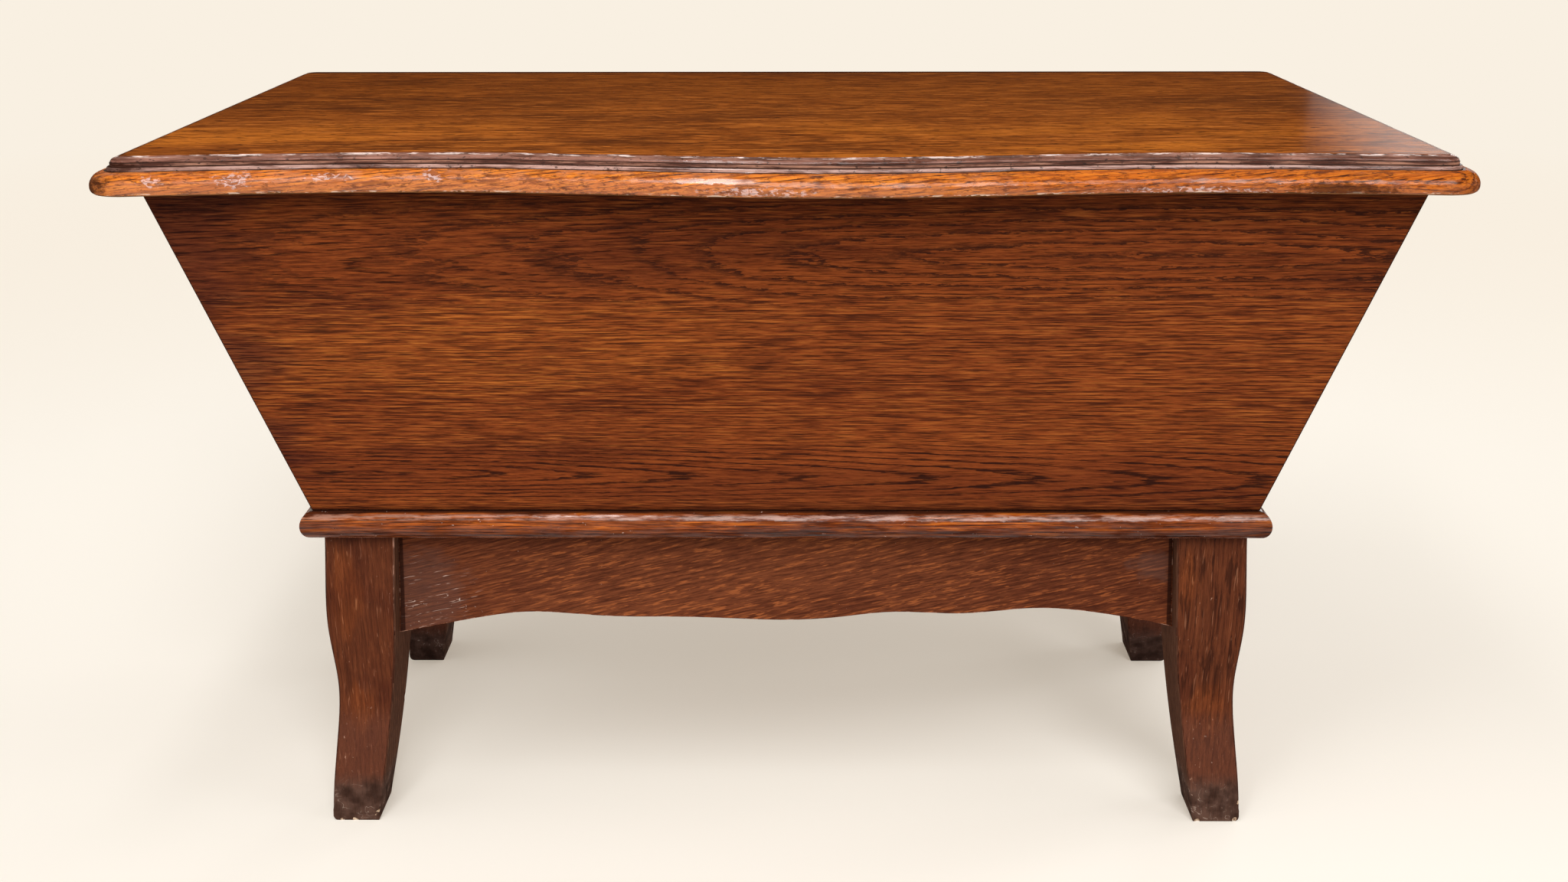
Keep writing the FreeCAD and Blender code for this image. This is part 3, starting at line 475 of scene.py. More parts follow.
# The flame: nested arches that point left, wider apart to the right.
drift = stretched(tree, where, (2.4, 4.0, 15.0), detail=2.0)
ripple = stretched(tree, where, (22.0, 60.0, 70.0), detail=2.0)
dashes = stretched(tree, where, (75.0, 60.0, 420.0), detail=3.0, roughness=0.65)
depth = calc(tree, "MAXIMUM", calc(tree, "SUBTRACT", FLAME_END, at_x), 0.0)
crowded = times(tree, calc(tree, "POWER", depth, 3.0), 10.9)
even = calc(tree, "SUBTRACT", times(tree, depth, 7.0), 0.9)
depth = calc(tree, "MINIMUM", crowded, even)
rise = calc(tree, "DIVIDE", calc(tree, "SUBTRACT", height, FLAME_AXIS), FLAME_RISE)
arches = vectors(tree, "LENGTH", put(tree, "CombineXYZ", {0: depth, 1: rise}).outputs[0])
for noise, amount in ((drift, 2.4), (ripple, 0.8), (dashes, 0.9)):
    arches = calc(tree, "ADD", arches, times(tree, noise, amount))
phase = calc(tree, "FRACT", arches)
arch = times(tree, span(tree, phase, 0.0, 0.07), span(tree, phase, 0.46, 0.12))
arch = times(tree, arch, between(tree, height, SEAT + 0.243, SEAT + 0.319, 0.030))
arch = times(tree, arch, span(tree, at_x, -0.50, 0.0, 0.55, 1.0))
lower = times(tree, cathedral, span(tree, height, *reversed(HALVES)))
bold = times(tree, span(tree, wood.outputs["Rings"], 0.20, 0.75), lower)
bold = calc(tree, "MAXIMUM", bold, arch)
bold = times(tree, bold, span(tree, dashes, 0.36, 0.56, 0.12, 0.9))
colour = mixed(tree, bold, colour, tint(50, 24, 16))
for middle, half, fray, grain, strength, factors in STAINS:
    stain = patch_mask(tree, where, middle, half, fray, grain)
    colour = toned(tree, times(tree, stain, strength), colour, factors)
# Painted shadow of the lid's overhang: the panel darkens towards its top edge.
colour = toned(tree, span(tree, height, RIM - 0.053, RIM, 0.0, 0.80), colour, (0.30, 0.27, 0.30))
# Painted shade where the panel meets the plinth: it darkens towards its bottom edge.
colour = toned(tree, span(tree, height, SEAT + 0.009, SEAT, 0.0, 0.8), colour, (0.30, 0.27, 0.35))
varnish(tree, colour, wood.outputs["Height"], rough=0.45, coat=0.03, coat_rough=0.3)

dark_arris, tree, where, _, wood = oak_surface("dark_arris", (0, 0, 0.3), (0, 40.0, 0), ARRIS_OAK)
nicks = fleck_mask(tree, where, (120.0, 120.0, 120.0), 0.10)
colour = mixed(tree, nicks, wood.outputs["Color"], tint(190, 160, 146))
varnish(tree, colour, wood.outputs["Height"], rough=0.6, coat=0.02)


def plain_oak(name, log_place, log_turn, palette, rough, **coat):
    """Oak with nothing over its own colour but varnish."""
    material, tree, _, _, wood = oak_surface(name, log_place, log_turn, palette)
    varnish(tree, wood.outputs["Color"], wood.outputs["Height"], rough, **coat)
    return material


bare_oak = plain_oak("bare_oak", (0.0, 0.05, 0.22), (0, 0, 0), BARE_OAK, rough=0.7)
bare_cross_oak = plain_oak("bare_cross_oak", (0.0, 0.05, 0.22), (0, 0, 90.0), BARE_OAK, rough=0.7)
end_oak = plain_oak("end_panel_oak", (0.4, 0.0, 0.45), (0, 0, 86.0), PANEL_OAK, rough=0.45, coat=0.03,
                    coat_rough=0.3)
for name, finish, bare, inside, ease in (
        ("front_panel", front_oak, bare_oak, (0, 1, 0), 0.0016),
        ("back_panel", front_oak, bare_oak, (0, -1, 0), 0.0016),
        ("end_panel_left", end_oak, bare_cross_oak, (1, 0, 0), 0.0010),
        ("end_panel_right", end_oak, bare_cross_oak, (-1, 0, 0), 0.0010)):
    eased_board(name, "chest", (finish, dark_arris, bare), ease, inside=inside)

for finish, names in (
        (bare_oak, ("floor_board_front", "floor_board_middle", "floor_board_back", "corner_dowels",
                    "lid_tongues")),
        (bare_cross_oak, ("floor_dowels", "floor_bearers", "apron_pegs", "lid_batten_left",
                          "lid_batten_right"))):
    for name in names:
        nodes[name].data.materials.clear()
        nodes[name].data.materials.append(finish)


# ---------------------------------------------------------------- plinth frame
# Mitred oak frame with a half-round nose, screwed down on the legs and aprons. It is
# varnished and rubbed pale along its lip and brow. Painted shade darkens the lower half of its
# nose, and a painted shadow the corner above.
PLINTH_OAK = [tint(168, 84, 30), tint(122, 54, 19), tint(78, 33, 14), tint(40, 17, 9)]
plinth_low, plinth_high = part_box("plinth_front")
MITRE = plinth_high.x + plinth_low.y    # half the frame's length less half its depth


def at_mitre(edge):
    """The mitre joints stay tight, so their edges are not eased."""
    return all(abs(abs(v.co.x) - abs(v.co.y) - MITRE) < 0.0005 for v in edge.verts)


def plinth_finish(name, log_place, turn):
    """Varnished oak for two of the frame's four pieces: worn nose, painted shade below and painted shadow
    above.
    """
    material, tree, where, along, wood = oak_surface(name, log_place, (0, 0, turn), PLINTH_OAK,
                                                     spacing=0.0034, pore_length=1.6)
    low, high, end = plinth_low.z, plinth_high.z, plinth_high.x
    at_x, _, height = parts(tree, where)
    streaks = stretched(tree, along, (9.0, 110.0, 210.0), detail=4.0, roughness=0.7, distortion=0.4)
    colour = laid(tree, wood.outputs["Color"], streaks, 0.49, 0.36, 0.8, tint(58, 25, 13))
    colour = laid(tree, colour, streaks, 0.55, 0.66, 0.7, tint(214, 114, 36))
    broad = stretched(tree, along, (5.0, 20.0, 20.0), detail=2.0)
    colour = toned(tree, span(tree, broad, 0.50, 0.34, 0.0, 0.7), colour, (0.50, 0.44, 0.46))
    # Painted shade on the lower half of the nose, which turns down away from the light.
    painted_shade_below = span(tree, height, low + 0.0155, low + 0.0065, 0.0, 0.95)
    colour = toned(tree, painted_shade_below, colour, (0.46, 0.50, 0.90))
    broken = stretched(tree, where, (28.0, 28.0, 260.0), detail=4.0, roughness=0.7)
    tip = span(tree, calc(tree, "ABSOLUTE", at_x), end - 0.093, end + 0.007)
    colour = toned(tree, times(tree, tip, 0.7), colour, (0.45, 0.42, 0.55))
    lip = between(tree, height, low + 0.0004, low + 0.0025, 0.0008)
    lip = times(tree, lip, span(tree, broken, 0.42, 0.6))
    colour = mixed(tree, times(tree, lip, 0.5), colour, tint(170, 124, 108))
    brow = between(tree, height, high - 0.0065, high - 0.0025, 0.0012)
    brow = times(tree, brow, span(tree, broken, 0.40, 0.62))
    colour = mixed(tree, times(tree, brow, 0.55), colour, tint(190, 140, 118))
    # Painted shadow in the corner above, where the plinth meets the panel.
    corner = span(tree, height, high - 0.0018, high - 0.0002, 0.0, 0.85)
    colour = mixed(tree, corner, colour, tint(44, 24, 18))
    colour = mixed(tree, fleck_mask(tree, where, (150.0, 150.0, 260.0), 0.16), colour, tint(214, 186, 170))
    gloss = span(tree, broken, 0.36, 0.62, 0.12, 0.75)
    varnish(tree, colour, mixed(tree, 0.5, wood.outputs["Height"], streaks), rough=0.4, coat=gloss,
            coat_rough=0.11, relief=0.0006)
    return material


long_plinth_oak = plinth_finish("long_plinth_oak", (0.0, -0.2, 0.40), 1.5)
side_plinth_oak = plinth_finish("side_plinth_oak", (0.4, 0.0, 0.40), 91.5)
for name, finish in (("plinth_front", long_plinth_oak), ("plinth_back", long_plinth_oak),
                     ("plinth_left", side_plinth_oak), ("plinth_right", side_plinth_oak)):
    eased_board(name, "chest", (finish, finish), 0.001, kept=at_mitre)


# ---------------------------------------------------------------- aprons
# Oak rails tenoned into the legs, the front one sawn to a scalloped lower edge. Boots
# and buckets have knocked its ends: grey bloom, scratches and pale specks.
APRON_OAK = [tint(119, 65, 39), tint(98, 50, 30), tint(79, 39, 24), tint(57, 27, 17)]
apron_low, apron_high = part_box("apron_front")
FACE, APRON_TOP = apron_low.y, apron_high.z
# The legs' inner edges on the apron's face: their distance from the middle at the floor, and their lean.
LEG_EDGE, LEG_LEAN = 0.4112, 0.045

long_apron_oak, tree, where, along, wood = oak_surface(
    "long_apron_oak", (0.0, -0.1, 0.05), (0, -13.0, 0), APRON_OAK, spacing=0.005, rings=0.25, pores=0.4,
    pore_length=0.4)
at_x, _, height = parts(tree, where)
flame = stretched(tree, along, (52.0, 40.0, 460.0), detail=2.0, roughness=0.6)
lively = span(tree, at_x, -0.36, -0.22, 0.25, 1.0)
pale = times(tree, span(tree, flame, 0.55, 0.66, 0.0, 0.75), lively)
colour = mixed(tree, pale, wood.outputs["Color"], tint(158, 88, 48))
colour = laid(tree, colour, flame, 0.45, 0.32, 0.55, tint(64, 31, 20))
colour = toned(tree, span(tree, at_x, 0.05, 0.34, 0.0, 0.5), colour, (0.72, 0.66, 0.68))
bloom = calc(
    tree, "MAXIMUM",
    patch_mask(tree, where, (-0.398, FACE, 0.250), (0.085, 0.1, 0.070), 0.5, (40.0, 40.0, 60.0)),
    patch_mask(tree, where, (0.385, FACE, 0.285), (0.028, 0.1, 0.022), 0.9, (40.0, 40.0, 60.0)))
colour = mixed(tree, times(tree, bloom, 0.42), colour, tint(92, 66, 58))
marks = patch_mask(tree, where, (-0.375, FACE, 0.248), (0.062, 0.1, 0.052), 0.6)
scratches = span(tree, stretched(tree, along, (60.0, 40.0, 900.0), detail=1.0), 0.68, 0.74)
scratches = times(tree, scratches, marks)
colour = mixed(tree, times(tree, scratches, 0.8), colour, tint(190, 160, 146))
low = patch_mask(tree, where, (-0.365, FACE, 0.232), (0.052, 0.1, 0.026), 0.6)
colour = mixed(tree, fleck_mask(tree, where, (240.0, 240.0, 300.0), 0.22, low), colour, tint(222, 200, 186))
colour = mixed(tree, fleck_mask(tree, where, (260.0, 260.0, 300.0), 0.10), colour, tint(190, 150, 130))
# Painted shadow under the plinth: the apron darkens towards its top edge.
under = span(tree, height, APRON_TOP - 0.022, APRON_TOP - 0.001, 0.0, 0.7)
colour = toned(tree, under, colour, (0.42, 0.40, 0.42))
# Painted shadow in a thin dark line where the apron meets the legs, standing in for the shaded gap at the
# joint.
joint = calc(tree, "ADD", calc(tree, "ABSOLUTE", at_x), times(tree, height, LEG_LEAN))
joint_shadow = span(tree, joint, LEG_EDGE, LEG_EDGE + 0.0012)
colour = mixed(tree, times(tree, joint_shadow, 0.85), colour, tint(38, 18, 12))
varnish(tree, colour, wood.outputs["Height"], rough=0.5, coat=0.04, coat_rough=0.3)

side_apron_oak = plain_oak("side_apron_oak", (0.3, 0.0, 0.1), (0, 0, 88.0), APRON_OAK, rough=0.5, coat=0.04,
                           coat_rough=0.3)
rubbed_arris, tree, where, _, wood = oak_surface("rubbed_arris", (0, 0, 0.3), (0, 20.0, 0), APRON_OAK)
broken = stretched(tree, where, (60.0, 60.0, 60.0), detail=4.0, roughness=0.7)
colour = laid(tree, wood.outputs["Color"], broken, 0.52, 0.62, 0.8, tint(186, 142, 120))
colour = laid(tree, colour, broken, 0.48, 0.40, 0.8, tint(50, 26, 20))
varnish(tree, colour, wood.outputs["Height"], rough=0.5, coat=0.04, coat_rough=0.3)
for name, finish in (("apron_front", long_apron_oak), ("apron_back", long_apron_oak),
                     ("apron_left", side_apron_oak), ("apron_right", side_apron_oak)):
    eased_board(name, "chest", (finish, rubbed_arris), 0.001)


# ---------------------------------------------------------------- legs
# Solid oak, sawn to an S on both outer faces, the grain upright. Floor wash and
# scuffs have left the feet grey-brown.
LEG_OAK = [tint(108, 58, 34), tint(89, 45, 27), tint(69, 33, 20), tint(44, 21, 13)]
LEG_ARRIS_OAK = [tint(92, 52, 36), tint(70, 38, 26), tint(54, 28, 20), tint(36, 18, 12)]
LEG_INSIDE_OAK = [tint(102, 67, 50), tint(84, 54, 40), tint(66, 42, 32), tint(44, 28, 21)]
TORN_OAK = [tint(232, 212, 190), tint(206, 178, 150), tint(160, 124, 96), tint(96, 64, 46)]
UPRIGHT = (0, 90.0, 0)
LEG_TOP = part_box("leg_front_left")[1].z
FOOT_ROUND = 0.0062    # the foot's own rounding ends below this height
# Per leg: log place, how dark its streaks are, then patches of painted light where the curved
# front faces turn up towards the lamps: middle and half sizes.
LEGS = {
    "leg_front_left": ((-1.1, -0.25, 0.0), 0.30, [((-0.456, -0.21, 0.265), (0.022, 0.06, 0.055)),
                                                  ((-0.452, -0.21, 0.13), (0.016, 0.06, 0.03))]),
    "leg_front_right": ((1.1, -0.25, 0.0), 0.85, [((0.416, -0.21, 0.275), (0.014, 0.06, 0.045)),
                                                  ((0.446, -0.21, 0.130), (0.026, 0.06, 0.032))]),
    "leg_back_left": ((-1.1, 0.25, 0.0), 0.4, []),
    "leg_back_right": ((1.1, 0.25, 0.0), 0.4, []),
}
# Chips: middle, half sizes and turn, on the arris of the left leg and the bottoms of the feet.
CHIPS = {
    "leg_front_left": [((-0.4225, -0.1378, 0.1070), (0.0028, 0.0040, 0.0046), (0.4, 0.3, 0.9)),
                       ((-0.4655, -0.2215, 0.0010), (0.0050, 0.0022, 0.0026), (0.2, 0.5, 0.1)),
                       ((-0.4800, -0.2215, 0.0008), (0.0034, 0.0020, 0.0020), (0.9, 0.2, 0.6)),
                       ((-0.4420, -0.2205, 0.0090), (0.0020, 0.0018, 0.0070), (0.1, 0.7, 0.3))],
    "leg_front_right": [((0.4440, -0.2212, 0.0012), (0.0048, 0.0022, 0.0028), (0.3, 0.1, 0.5)),
                        ((0.4845, -0.2212, 0.0030), (0.0026, 0.0022, 0.0050), (0.7, 0.4, 0.2)),
                        ((0.4872, -0.2195, 0.0230), (0.0016, 0.0020, 0.0036), (0.5, 0.2, 0.8))],
    "leg_back_right": [((0.4420, 0.1650, 0.0010), (0.0060, 0.0026, 0.0024), (0.3, 0.2, 0.5))],
}


def foot_grime(tree, where, colour):
    """Grey floor wash, scrapes and small pale chips over the foot."""
    height = parts(tree, where)[2]
    ragged = stretched(tree, where, (60.0, 60.0, 60.0), detail=4.0)
    washed = span(tree, calc(tree, "ADD", height, times(tree, ragged, 0.030)), 0.076, 0.050)
    grey = mixed(tree, span(tree, ragged, 0.3, 0.7), tint(46, 32, 26), tint(92, 68, 58))
    colour = mixed(tree, times(tree, washed, 0.88), colour, grey)
    curls = stretched(tree, where, (55.0, 55.0, 70.0), detail=2.0, distortion=1.0)
    curls = calc(tree, "ABSOLUTE", calc(tree, "SUBTRACT", curls, 0.5))
    scrapes = times(tree, span(tree, curls, 0.012, 0.003), span(tree, ragged, 0.50, 0.60))
    colour = mixed(tree, times(tree, times(tree, scrapes, washed), 0.55), colour, tint(170, 148, 134))
    chips = fleck_mask(tree, where, (210.0, 210.0, 210.0), 0.16, span(tree, height, 0.13, 0.04))
    return mixed(tree, chips, colour, tint(196, 160, 142))


leg_arris, tree, where, _, wood = oak_surface("leg_arris", (0, 0, 0.3), UPRIGHT, LEG_ARRIS_OAK)
colour = foot_grime(tree, where, wood.outputs["Color"])
handled = patch_mask(tree, where, (-0.399, -0.205, 0.25), (0.012, 0.012, 0.12), 0.5)
rubs = stretched(tree, where, (90.0, 90.0, 40.0), detail=4.0, roughness=0.7)
handled = times(tree, span(tree, rubs, 0.42, 0.58, 0.1, 0.7), handled)
colour = mixed(tree, handled, colour, tint(188, 140, 118))
chips = times(tree, span(tree, rubs, 0.52, 0.60), span(tree, parts(tree, where)[2], 0.022, 0.004))
colour = mixed(tree, times(tree, chips, 0.8), colour, tint(196, 170, 152))
varnish(tree, colour, wood.outputs["Height"], rough=0.55, coat=0.05, coat_rough=0.3)

leg_inside, tree, where, _, wood = oak_surface("leg_inside", (0.1, 0.1, 0.0), UPRIGHT, LEG_INSIDE_OAK,
                                               rings=0.3, pores=0.4)
colour = foot_grime(tree, where, wood.outputs["Color"])
varnish(tree, colour, wood.outputs["Height"], rough=0.6, coat=0.03, coat_rough=0.3)

torn_oak, tree, where, _, wood = oak_surface("torn_oak", (0.1, 0.1, 0.0), UPRIGHT, TORN_OAK, pore_length=0.3)
varnish(tree, wood.outputs["Color"], wood.outputs["Height"], rough=0.8, relief=0.0005)


def at_floor(edge):
    """The foot's bottom already has its own rounding."""
    return min(vert.co.z for vert in edge.verts) < FOOT_ROUND


def knock_out(board, place, size, turn):
    """Knock a ragged chip out of a board, leaving torn bare oak."""
    bpy.ops.mesh.primitive_ico_sphere_add(subdivisions=1, radius=1.0, location=place, rotation=turn,
                                          scale=size)
    cutter = bpy.context.object
    cutter.data.materials.append(torn_oak)
    cut = board.modifiers.new("chip", "BOOLEAN")
    cut.operation, cut.solver, cut.material_mode, cut.object = "DIFFERENCE", "EXACT", "TRANSFER", cutter
    bpy.context.view_layer.objects.active = board
    bpy.ops.object.modifier_apply(modifier=cut.name)
    bpy.data.objects.remove(cutter)
    settle_shading(board)


for name, (log_place, darkness, lit_patches) in LEGS.items():
    leg_oak, tree, where, _, wood = oak_surface(name + "_oak", log_place, UPRIGHT, LEG_OAK, spacing=0.0048,
                                                wander=0.010, rings=0.5 * darkness, pores=0.4)
    height = parts(tree, where)[2]
    streaks = stretched(tree, where, (260.0, 260.0, 9.0), detail=4.0, roughness=0.7, distortion=0.3)
    colour = mixed(tree, 0.5, wood.outputs["Color"], tint(91, 47, 28))
    colour = laid(tree, colour, streaks, 0.49, 0.35, darkness, tint(54, 26, 16))
    colour = laid(tree, colour, streaks, 0.55, 0.68, 0.34, tint(132, 74, 46))
    coarse = stretched(tree, where, (210.0, 210.0, 19.0), detail=2.0, distortion=0.4)
    colour = laid(tree, colour, coarse, 0.57, 0.66, 0.85 * darkness, tint(50, 24, 15))
    hairs = stretched(tree, where, (520.0, 520.0, 34.0), detail=2.0, distortion=0.4)
    colour = laid(tree, colour, hairs, 0.62, 0.72, 0.42, tint(158, 104, 76))
    for middle, half in lit_patches:
        # Painted light: these patches brighten where the curved front faces turn up towards the lamps.
        glow = patch_mask(tree, where, middle, half, 1.0, (60.0, 30.0, 8.0))
        colour = toned(tree, times(tree, glow, 0.75), colour, (1.40, 1.30, 1.0))
    cloudy = stretched(tree, where, (22.0, 22.0, 14.0), detail=3.0)
    colour = toned(tree, span(tree, cloudy, 0.48, 0.36, 0.0, 0.6), colour, (0.72, 0.66, 0.74))
    dull = between(tree, height, 0.052, 0.105, 0.03)
    colour = mixed(tree, times(tree, dull, 0.5), colour, tint(98, 58, 44))
    colour = mixed(tree, fleck_mask(tree, where, (260.0, 260.0, 200.0), 0.12), colour, tint(186, 140, 116))
    knocks = fleck_mask(tree, where, (300.0, 300.0, 230.0), 0.20, span(tree, height, 0.17, 0.10))
    colour = mixed(tree, knocks, colour, tint(180, 138, 116))
    # Painted shadow under the plinth: the leg darkens towards its top.
    under = span(tree, height, LEG_TOP - 0.016, LEG_TOP - 0.001, 0.0, 0.6)
    colour = toned(tree, under, colour, (0.45, 0.42, 0.45))
    colour = foot_grime(tree, where, colour)
    # Painted shade: the back legs, in the chest's shadow, get a darker, cooler copy of the oak.
    if "back" in name:
        colour = toned(tree, 0.6, colour, (0.50, 0.52, 0.60))
    varnish(tree, colour, calc(tree, "ADD", wood.outputs["Height"], streaks), rough=0.5, coat=0.06,
            coat_rough=0.25, relief=0.0004)
    leg = eased_board(name, "chest", (leg_oak, leg_arris, leg_inside), 0.0020, kept=at_floor,
                      segments=3, inside=(1, 0, 0) if "left" in name else (-1, 0, 0))
    for place, size, turn in CHIPS.get(name, []):
        knock_out(leg, place, size, turn)


# ---------------------------------------------------------------- lid
# Three oak boards with loose tongues, moulded on the front and the ends: an ovolo
# below two small steps, rubbed pale where hands lift it.
LID_OAK = [tint(158, 86, 31), tint(130, 66, 21), tint(93, 45, 15), tint(56, 27, 12)]
# The ovolo's palette holds painted light as well as the oak's own colour.
OVOLO_OAK_AND_LIGHT = [tint(236, 142, 46), tint(206, 108, 32), tint(142, 68, 22), tint(66, 29, 12)]
UNDER_OAK = [tint(140, 96, 60), tint(118, 78, 48), tint(90, 56, 34), tint(60, 36, 22)]
lid_low, lid_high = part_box("lid_board_front")
UNDERSIDE, TOP, LID_END = lid_low.z, lid_high.z, lid_high.x
BOARD_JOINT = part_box("lid_board_middle")[1].y
BACK_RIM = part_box("lid_board_back")[1].y - 0.016
# Heights on the moulding: the ovolo's lip and top, then the steps with their rubbed and dark bands.
LIP = UNDERSIDE + 0.0040, UNDERSIDE + 0.0018
OVOLO_TOP = UNDERSIDE + 0.0203
BEAD = UNDERSIDE + 0.0210, UNDERSIDE + 0.0236
FILLET = UNDERSIDE + 0.0250, UNDERSIDE + 0.0268
TOP_ARRIS = TOP - 0.0020, TOP - 0.0008
CORNERS = [(UNDERSIDE + low, UNDERSIDE + low + 0.0007) for low in (0.0200, 0.0239, 0.0272)]
# Patches rubbed to a pale bloom on the ovolo, and dark patches at its ends and low down,
# partly grime and partly painted shade: middle and half sizes.
SCUFFS = [((-0.492, -0.30, 0.712), (0.018, 0.06, 0.007)), ((-0.318, -0.32, 0.714), (0.011, 0.06, 0.006)),
          ((-0.565, -0.30, 0.712), (0.012, 0.06, 0.005)), ((-0.41, -0.30, 0.714), (0.022, 0.06, 0.003)),
          ((-0.02, -0.33, 0.705), (0.05, 0.06, 0.004)), ((0.36, -0.32, 0.703), (0.07, 0.06, 0.003))]
GRIME_AND_SHADE = [((-0.638, -0.325, 0.706), (0.038, 0.08, 0.020)), ((0.500, -0.30, 0.704), (0.060, 0.06, 0.009)),
         ((0.640, -0.29, 0.706), (0.020, 0.08, 0.018)), ((-0.60, -0.31, 0.723), (0.030, 0.06, 0.005))]
# Per board: where the heart of its log lies.
LID_LOGS = (("lid_board_front", -0.2, 0.60), ("lid_board_middle", 0.02, 0.58), ("lid_board_back", 0.25, 0.61))


def at_board_joint(edge):
    """The board joints stay tight, so their edges are not eased."""
    return all(abs(abs(v.co.y) - BOARD_JOINT) < 0.0005 for v in edge.verts)


def most(tree, where, patches, fray, grain):
    """The strongest of several patches, each given by its middle and half sizes."""
    mask = 0.0
    for middle, half in patches:
        mask = calc(tree, "MAXIMUM", mask, patch_mask(tree, where, middle, half, fray, grain))
    return mask


lid_under = plain_oak("lid_under", (0.0, 0.0, 0.60), (0, 1.0, 0), UNDER_OAK, rough=0.65)
for name, log_y, log_z in LID_LOGS:
    lid_oak, tree, where, _, wood = oak_surface(name + "_oak", (0.0, log_y, log_z), (0, 1.5, 0), LID_OAK,
                                                rings=0.35, pores=0.5)
    at_x, at_y, height = parts(tree, where)
    from_middle = calc(tree, "ABSOLUTE", at_x)
    # The top: broad light and dark stripes, fine dark grain, pores and a little dust,
    # with painted light towards the front and painted shade towards the back and the left.
    broad = stretched(tree, where, (2.4, 8.0, 1.0), detail=4.0, roughness=0.65)
    grain = stretched(tree, where, (20.0, 190.0, 1.0), detail=3.0, roughness=0.7)
    ticks = stretched(tree, where, (70.0, 330.0, 1.0), detail=2.0)
    top = laid(tree, wood.outputs["Color"], broad, 0.50, 0.34, 0.75, tint(80, 39, 16))
    # Golden streaks of the oak, made stronger towards the front as painted light.
    golden = times(tree, span(tree, broad, 0.50, 0.66), span(tree, at_y, 0.1, -0.3, 0.15, 0.95))
    top = mixed(tree, golden, top, tint(178, 100, 32))
    top = laid(tree, top, grain, 0.5, 0.36, 0.66, tint(74, 34, 13))
    top = laid(tree, top, grain, 0.53, 0.68, 0.75, tint(190, 110, 42))
    top = laid(tree, top, ticks, 0.58, 0.67, 0.8, tint(52, 25, 12))
    # Painted shade: the top darkens towards the back and towards the left.
    top = laid(tree, top, at_y, -0.3, 0.3, 0.35, tint(92, 46, 18))
    painted_shade_top = calc(tree, "ADD", times(tree, at_y, 1.6), times(tree, at_x, -0.6))
    top = toned(tree, span(tree, painted_shade_top, -0.15, 0.75, 0.06, 0.62), top, (0.66, 0.60, 0.52))
    top = mixed(tree, fleck_mask(tree, where, (160.0, 160.0, 1.0), 0.02), top, tint(214, 190, 170))
    # Painted shade along the rounded ends and the back edge of the top, where they turn away from the light.
    at_end = span(tree, from_middle, LID_END - 0.0315, LID_END - 0.0285)
    painted_rim_shade = calc(tree, "MAXIMUM", at_end, span(tree, at_y, BACK_RIM, BACK_RIM + 0.0035))
    top = mixed(tree, times(tree, painted_rim_shade, 0.75), top, tint(52, 30, 20))

    # The ovolo: bright oak, its rings running out, rubbed rough and pinkish low down. Its
    # palette is brighter than the top's, partly as painted light where it turns up to the lamps.
    along = log_space(tree, where, (0.3, log_y - 0.12, 0.66), (0, -5.0, 4.0))
    bright = sawn_oak(tree, along, OVOLO_OAK_AND_LIGHT, spacing=0.004, wander=0.02, rings=0.7, pores=0.95,
                      pore_length=0.4)
    low = span(tree, height, UNDERSIDE + 0.0190, UNDERSIDE + 0.0060)
    ragged = stretched(tree, where, (26.0, 26.0, 120.0), detail=4.0, roughness=0.7)
    ragged = calc(tree, "ADD", ragged, times(tree, low, 0.22))
    left = span(tree, at_x, 0.22, -0.1, 0.0, 0.12)
    worn = span(tree, calc(tree, "ADD", ragged, left), 0.56, 0.74)
    ovolo = mixed(tree, times(tree, worn, 0.42), bright.outputs["Color"], tint(190, 118, 80))
    smudge = stretched(tree, where, (34.0, 34.0, 210.0), detail=4.0, roughness=0.7)
    ovolo = laid(tree, ovolo, smudge, 0.46, 0.37, 0.62, tint(104, 46, 16))
    ovolo = toned(tree, span(tree, at_x, 0.05, 0.30, 0.12, 0.8), ovolo, (0.72, 0.56, 0.34))
    nicks = fleck_mask(tree, where, (110.0, 110.0, 420.0), 0.40)
    ovolo = mixed(tree, times(tree, nicks, 0.7), ovolo, tint(96, 44, 20))
    bloom = most(tree, where, SCUFFS, 1.3, (160.0, 60.0, 300.0))
    swirl = stretched(tree, where, (120.0, 120.0, 260.0), detail=4.0, distortion=1.6)
    scraped = mixed(tree, span(tree, swirl, 0.46, 0.54), tint(150, 84, 50), tint(226, 196, 192))
    ovolo = mixed(tree, times(tree, bloom, 0.58), ovolo, scraped)
    lip = fleck_mask(tree, where, (60.0, 60.0, 240.0), 0.48, span(tree, height, *LIP))
    ovolo = mixed(tree, lip, ovolo, tint(232, 200, 176))

    # The steps: dull brown polish under a painted mauve-grey reflection, pale on the rubbed
    # arrises and on the bead, whose band is partly painted reflection, black in the corners.
    cloudy = stretched(tree, where, (17.0, 17.0, 260.0), detail=4.0, roughness=0.7)
    # Painted reflection: the mauve-grey of the steps stands for the pale room seen in their polish.
    steps = mixed(tree, span(tree, cloudy, 0.36, 0.66), tint(78, 38, 24), tint(150, 102, 86))
    # The bead's pale band: rubbing, and partly a painted reflection.
    bead = times(tree, between(tree, height, *BEAD, 0.0003), span(tree, cloudy, 0.38, 0.62, 0.05, 0.7))
    steps = mixed(tree, bead, steps, tint(196, 158, 146))
    fillet = times(tree, between(tree, height, *FILLET, 0.0003), span(tree, cloudy, 0.42, 0.6, 0.0, 0.6))
    steps = mixed(tree, fillet, steps, tint(190, 138, 110))
    arris = fleck_mask(tree, where, (44.0, 44.0, 700.0), 0.50, span(tree, height, *TOP_ARRIS))
    steps = mixed(tree, arris, steps, tint(226, 204, 196))
    cracks = fleck_mask(tree, where, (150.0, 150.0, 330.0), 0.34)
    steps = mixed(tree, times(tree, cracks, 0.75), steps, tint(50, 26, 20))
    for corner_low, corner_high in CORNERS:
        corner = between(tree, height, corner_low, corner_high, 0.0002)
        steps = mixed(tree, times(tree, corner, 0.85), steps, tint(40, 19, 11))
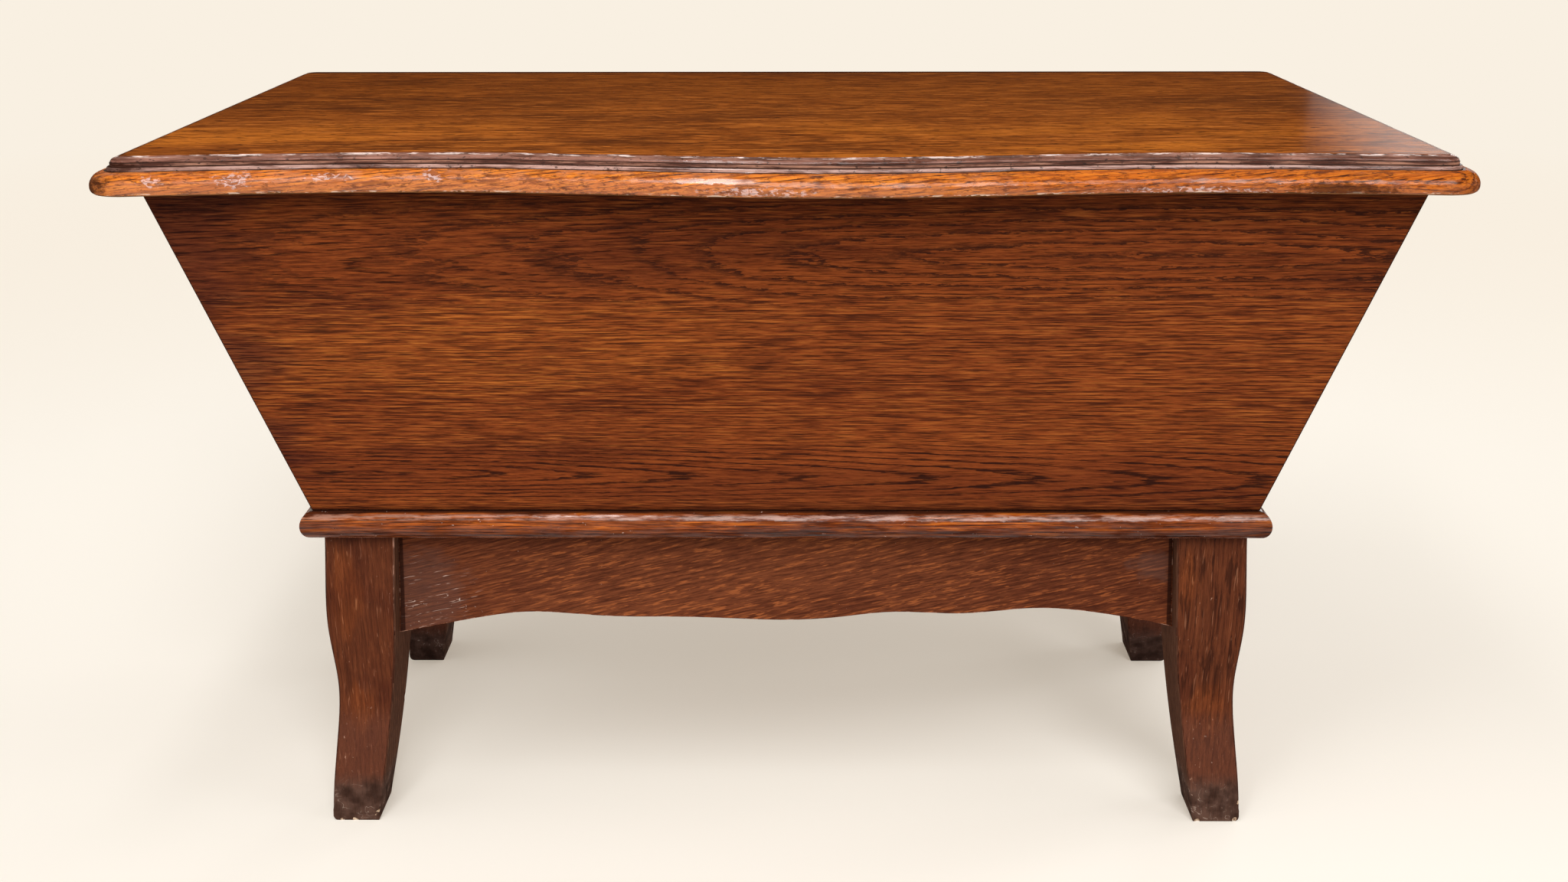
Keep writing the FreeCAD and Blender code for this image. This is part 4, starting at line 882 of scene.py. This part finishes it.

    # All three together, with grime and painted shade at the ends, then the shine and the relief.
    moulded = calc(tree, "LESS_THAN", height, TOP - 0.0003)
    on_ovolo = calc(tree, "LESS_THAN", height, OVOLO_TOP)
    edge = mixed(tree, on_ovolo, steps, ovolo)
    # Grime and painted shade at the ends and along the lower edge of the moulding.
    soiled_and_shaded = most(tree, where, GRIME_AND_SHADE, 0.9, (120.0, 60.0, 160.0))
    edge = mixed(tree, times(tree, soiled_and_shaded, 0.72), edge, tint(46, 24, 16))
    # Painted shade: the moulding darkens towards the lid's ends.
    end_shade = span(tree, from_middle, LID_END - 0.031, LID_END - 0.003)
    edge = toned(tree, times(tree, end_shade, 0.7), edge, (0.42, 0.40, 0.40))
    under = calc(tree, "LESS_THAN", height, UNDERSIDE + 0.0002)
    colour = mixed(tree, under, mixed(tree, moulded, top, edge), wood.outputs["Color"])
    gloss = mixed(tree, on_ovolo, 0.55, mixed(tree, worn, 0.30, 0.75))
    handled = patch_mask(tree, where, (-0.07, -0.33, 0.712), (0.05, 0.08, 0.012), 0.4)
    gloss = calc(tree, "MAXIMUM", gloss, handled)
    gloss = times(tree, gloss, calc(tree, "SUBTRACT", 1.0, times(tree, soiled_and_shaded, 0.8)))
    gloss = times(tree, gloss, span(tree, from_middle, LID_END - 0.042, LID_END - 0.017, 1.0, 0.15))
    polish = calc(tree, "ADD", at_x, times(tree, at_y, -0.22))
    polish = span(tree, polish, 0.525, 0.64, 0.008, 0.085)
    shine = mixed(tree, moulded, polish, gloss)
    relief = calc(tree, "SUBTRACT", wood.outputs["Height"], times(tree, nicks, on_ovolo))
    relief = calc(tree, "SUBTRACT", relief, times(tree, times(tree, cracks, moulded), 1.5))
    varnish(tree, colour, relief, rough=0.45, coat=shine, coat_rough=0.12, relief=0.0004)
    eased_board(name, "lid", (lid_oak, lid_oak, lid_under), 0.0004, kept=at_board_joint,
                inside=(0, 0, -1))


# ---------------------------------------------------------------- hinges and screws
# Two butt hinges of dark iron let into the back panel and the lid, with slotted screws.
# All the screws are of the same iron, gone brown and rough in places.
iron = bpy.data.materials.new("hinge_iron")
iron.use_nodes = True
tree = iron.node_tree
where = put(tree, "TexCoord").outputs["Object"]
rust = put(tree, "TexNoise", {"Vector": where, "Scale": 180.0, "Detail": 6.0}).outputs["Fac"]
bump = put(tree, "Bump", {"Height": rust, "Distance": 0.0002})
feed(tree, tree.nodes["Principled BSDF"],
     {"Base Color": mixed(tree, span(tree, rust, 0.4, 0.7), tint(62, 56, 52), tint(96, 66, 46)),
      "Roughness": span(tree, rust, 0.3, 0.7, 0.35, 0.7), "Normal": bump.outputs[0], "Metallic": 0.85})
for name, made in nodes.items():
    if name.startswith("hinge") or "screws" in name:
        made.data.materials.clear()
        made.data.materials.append(iron)
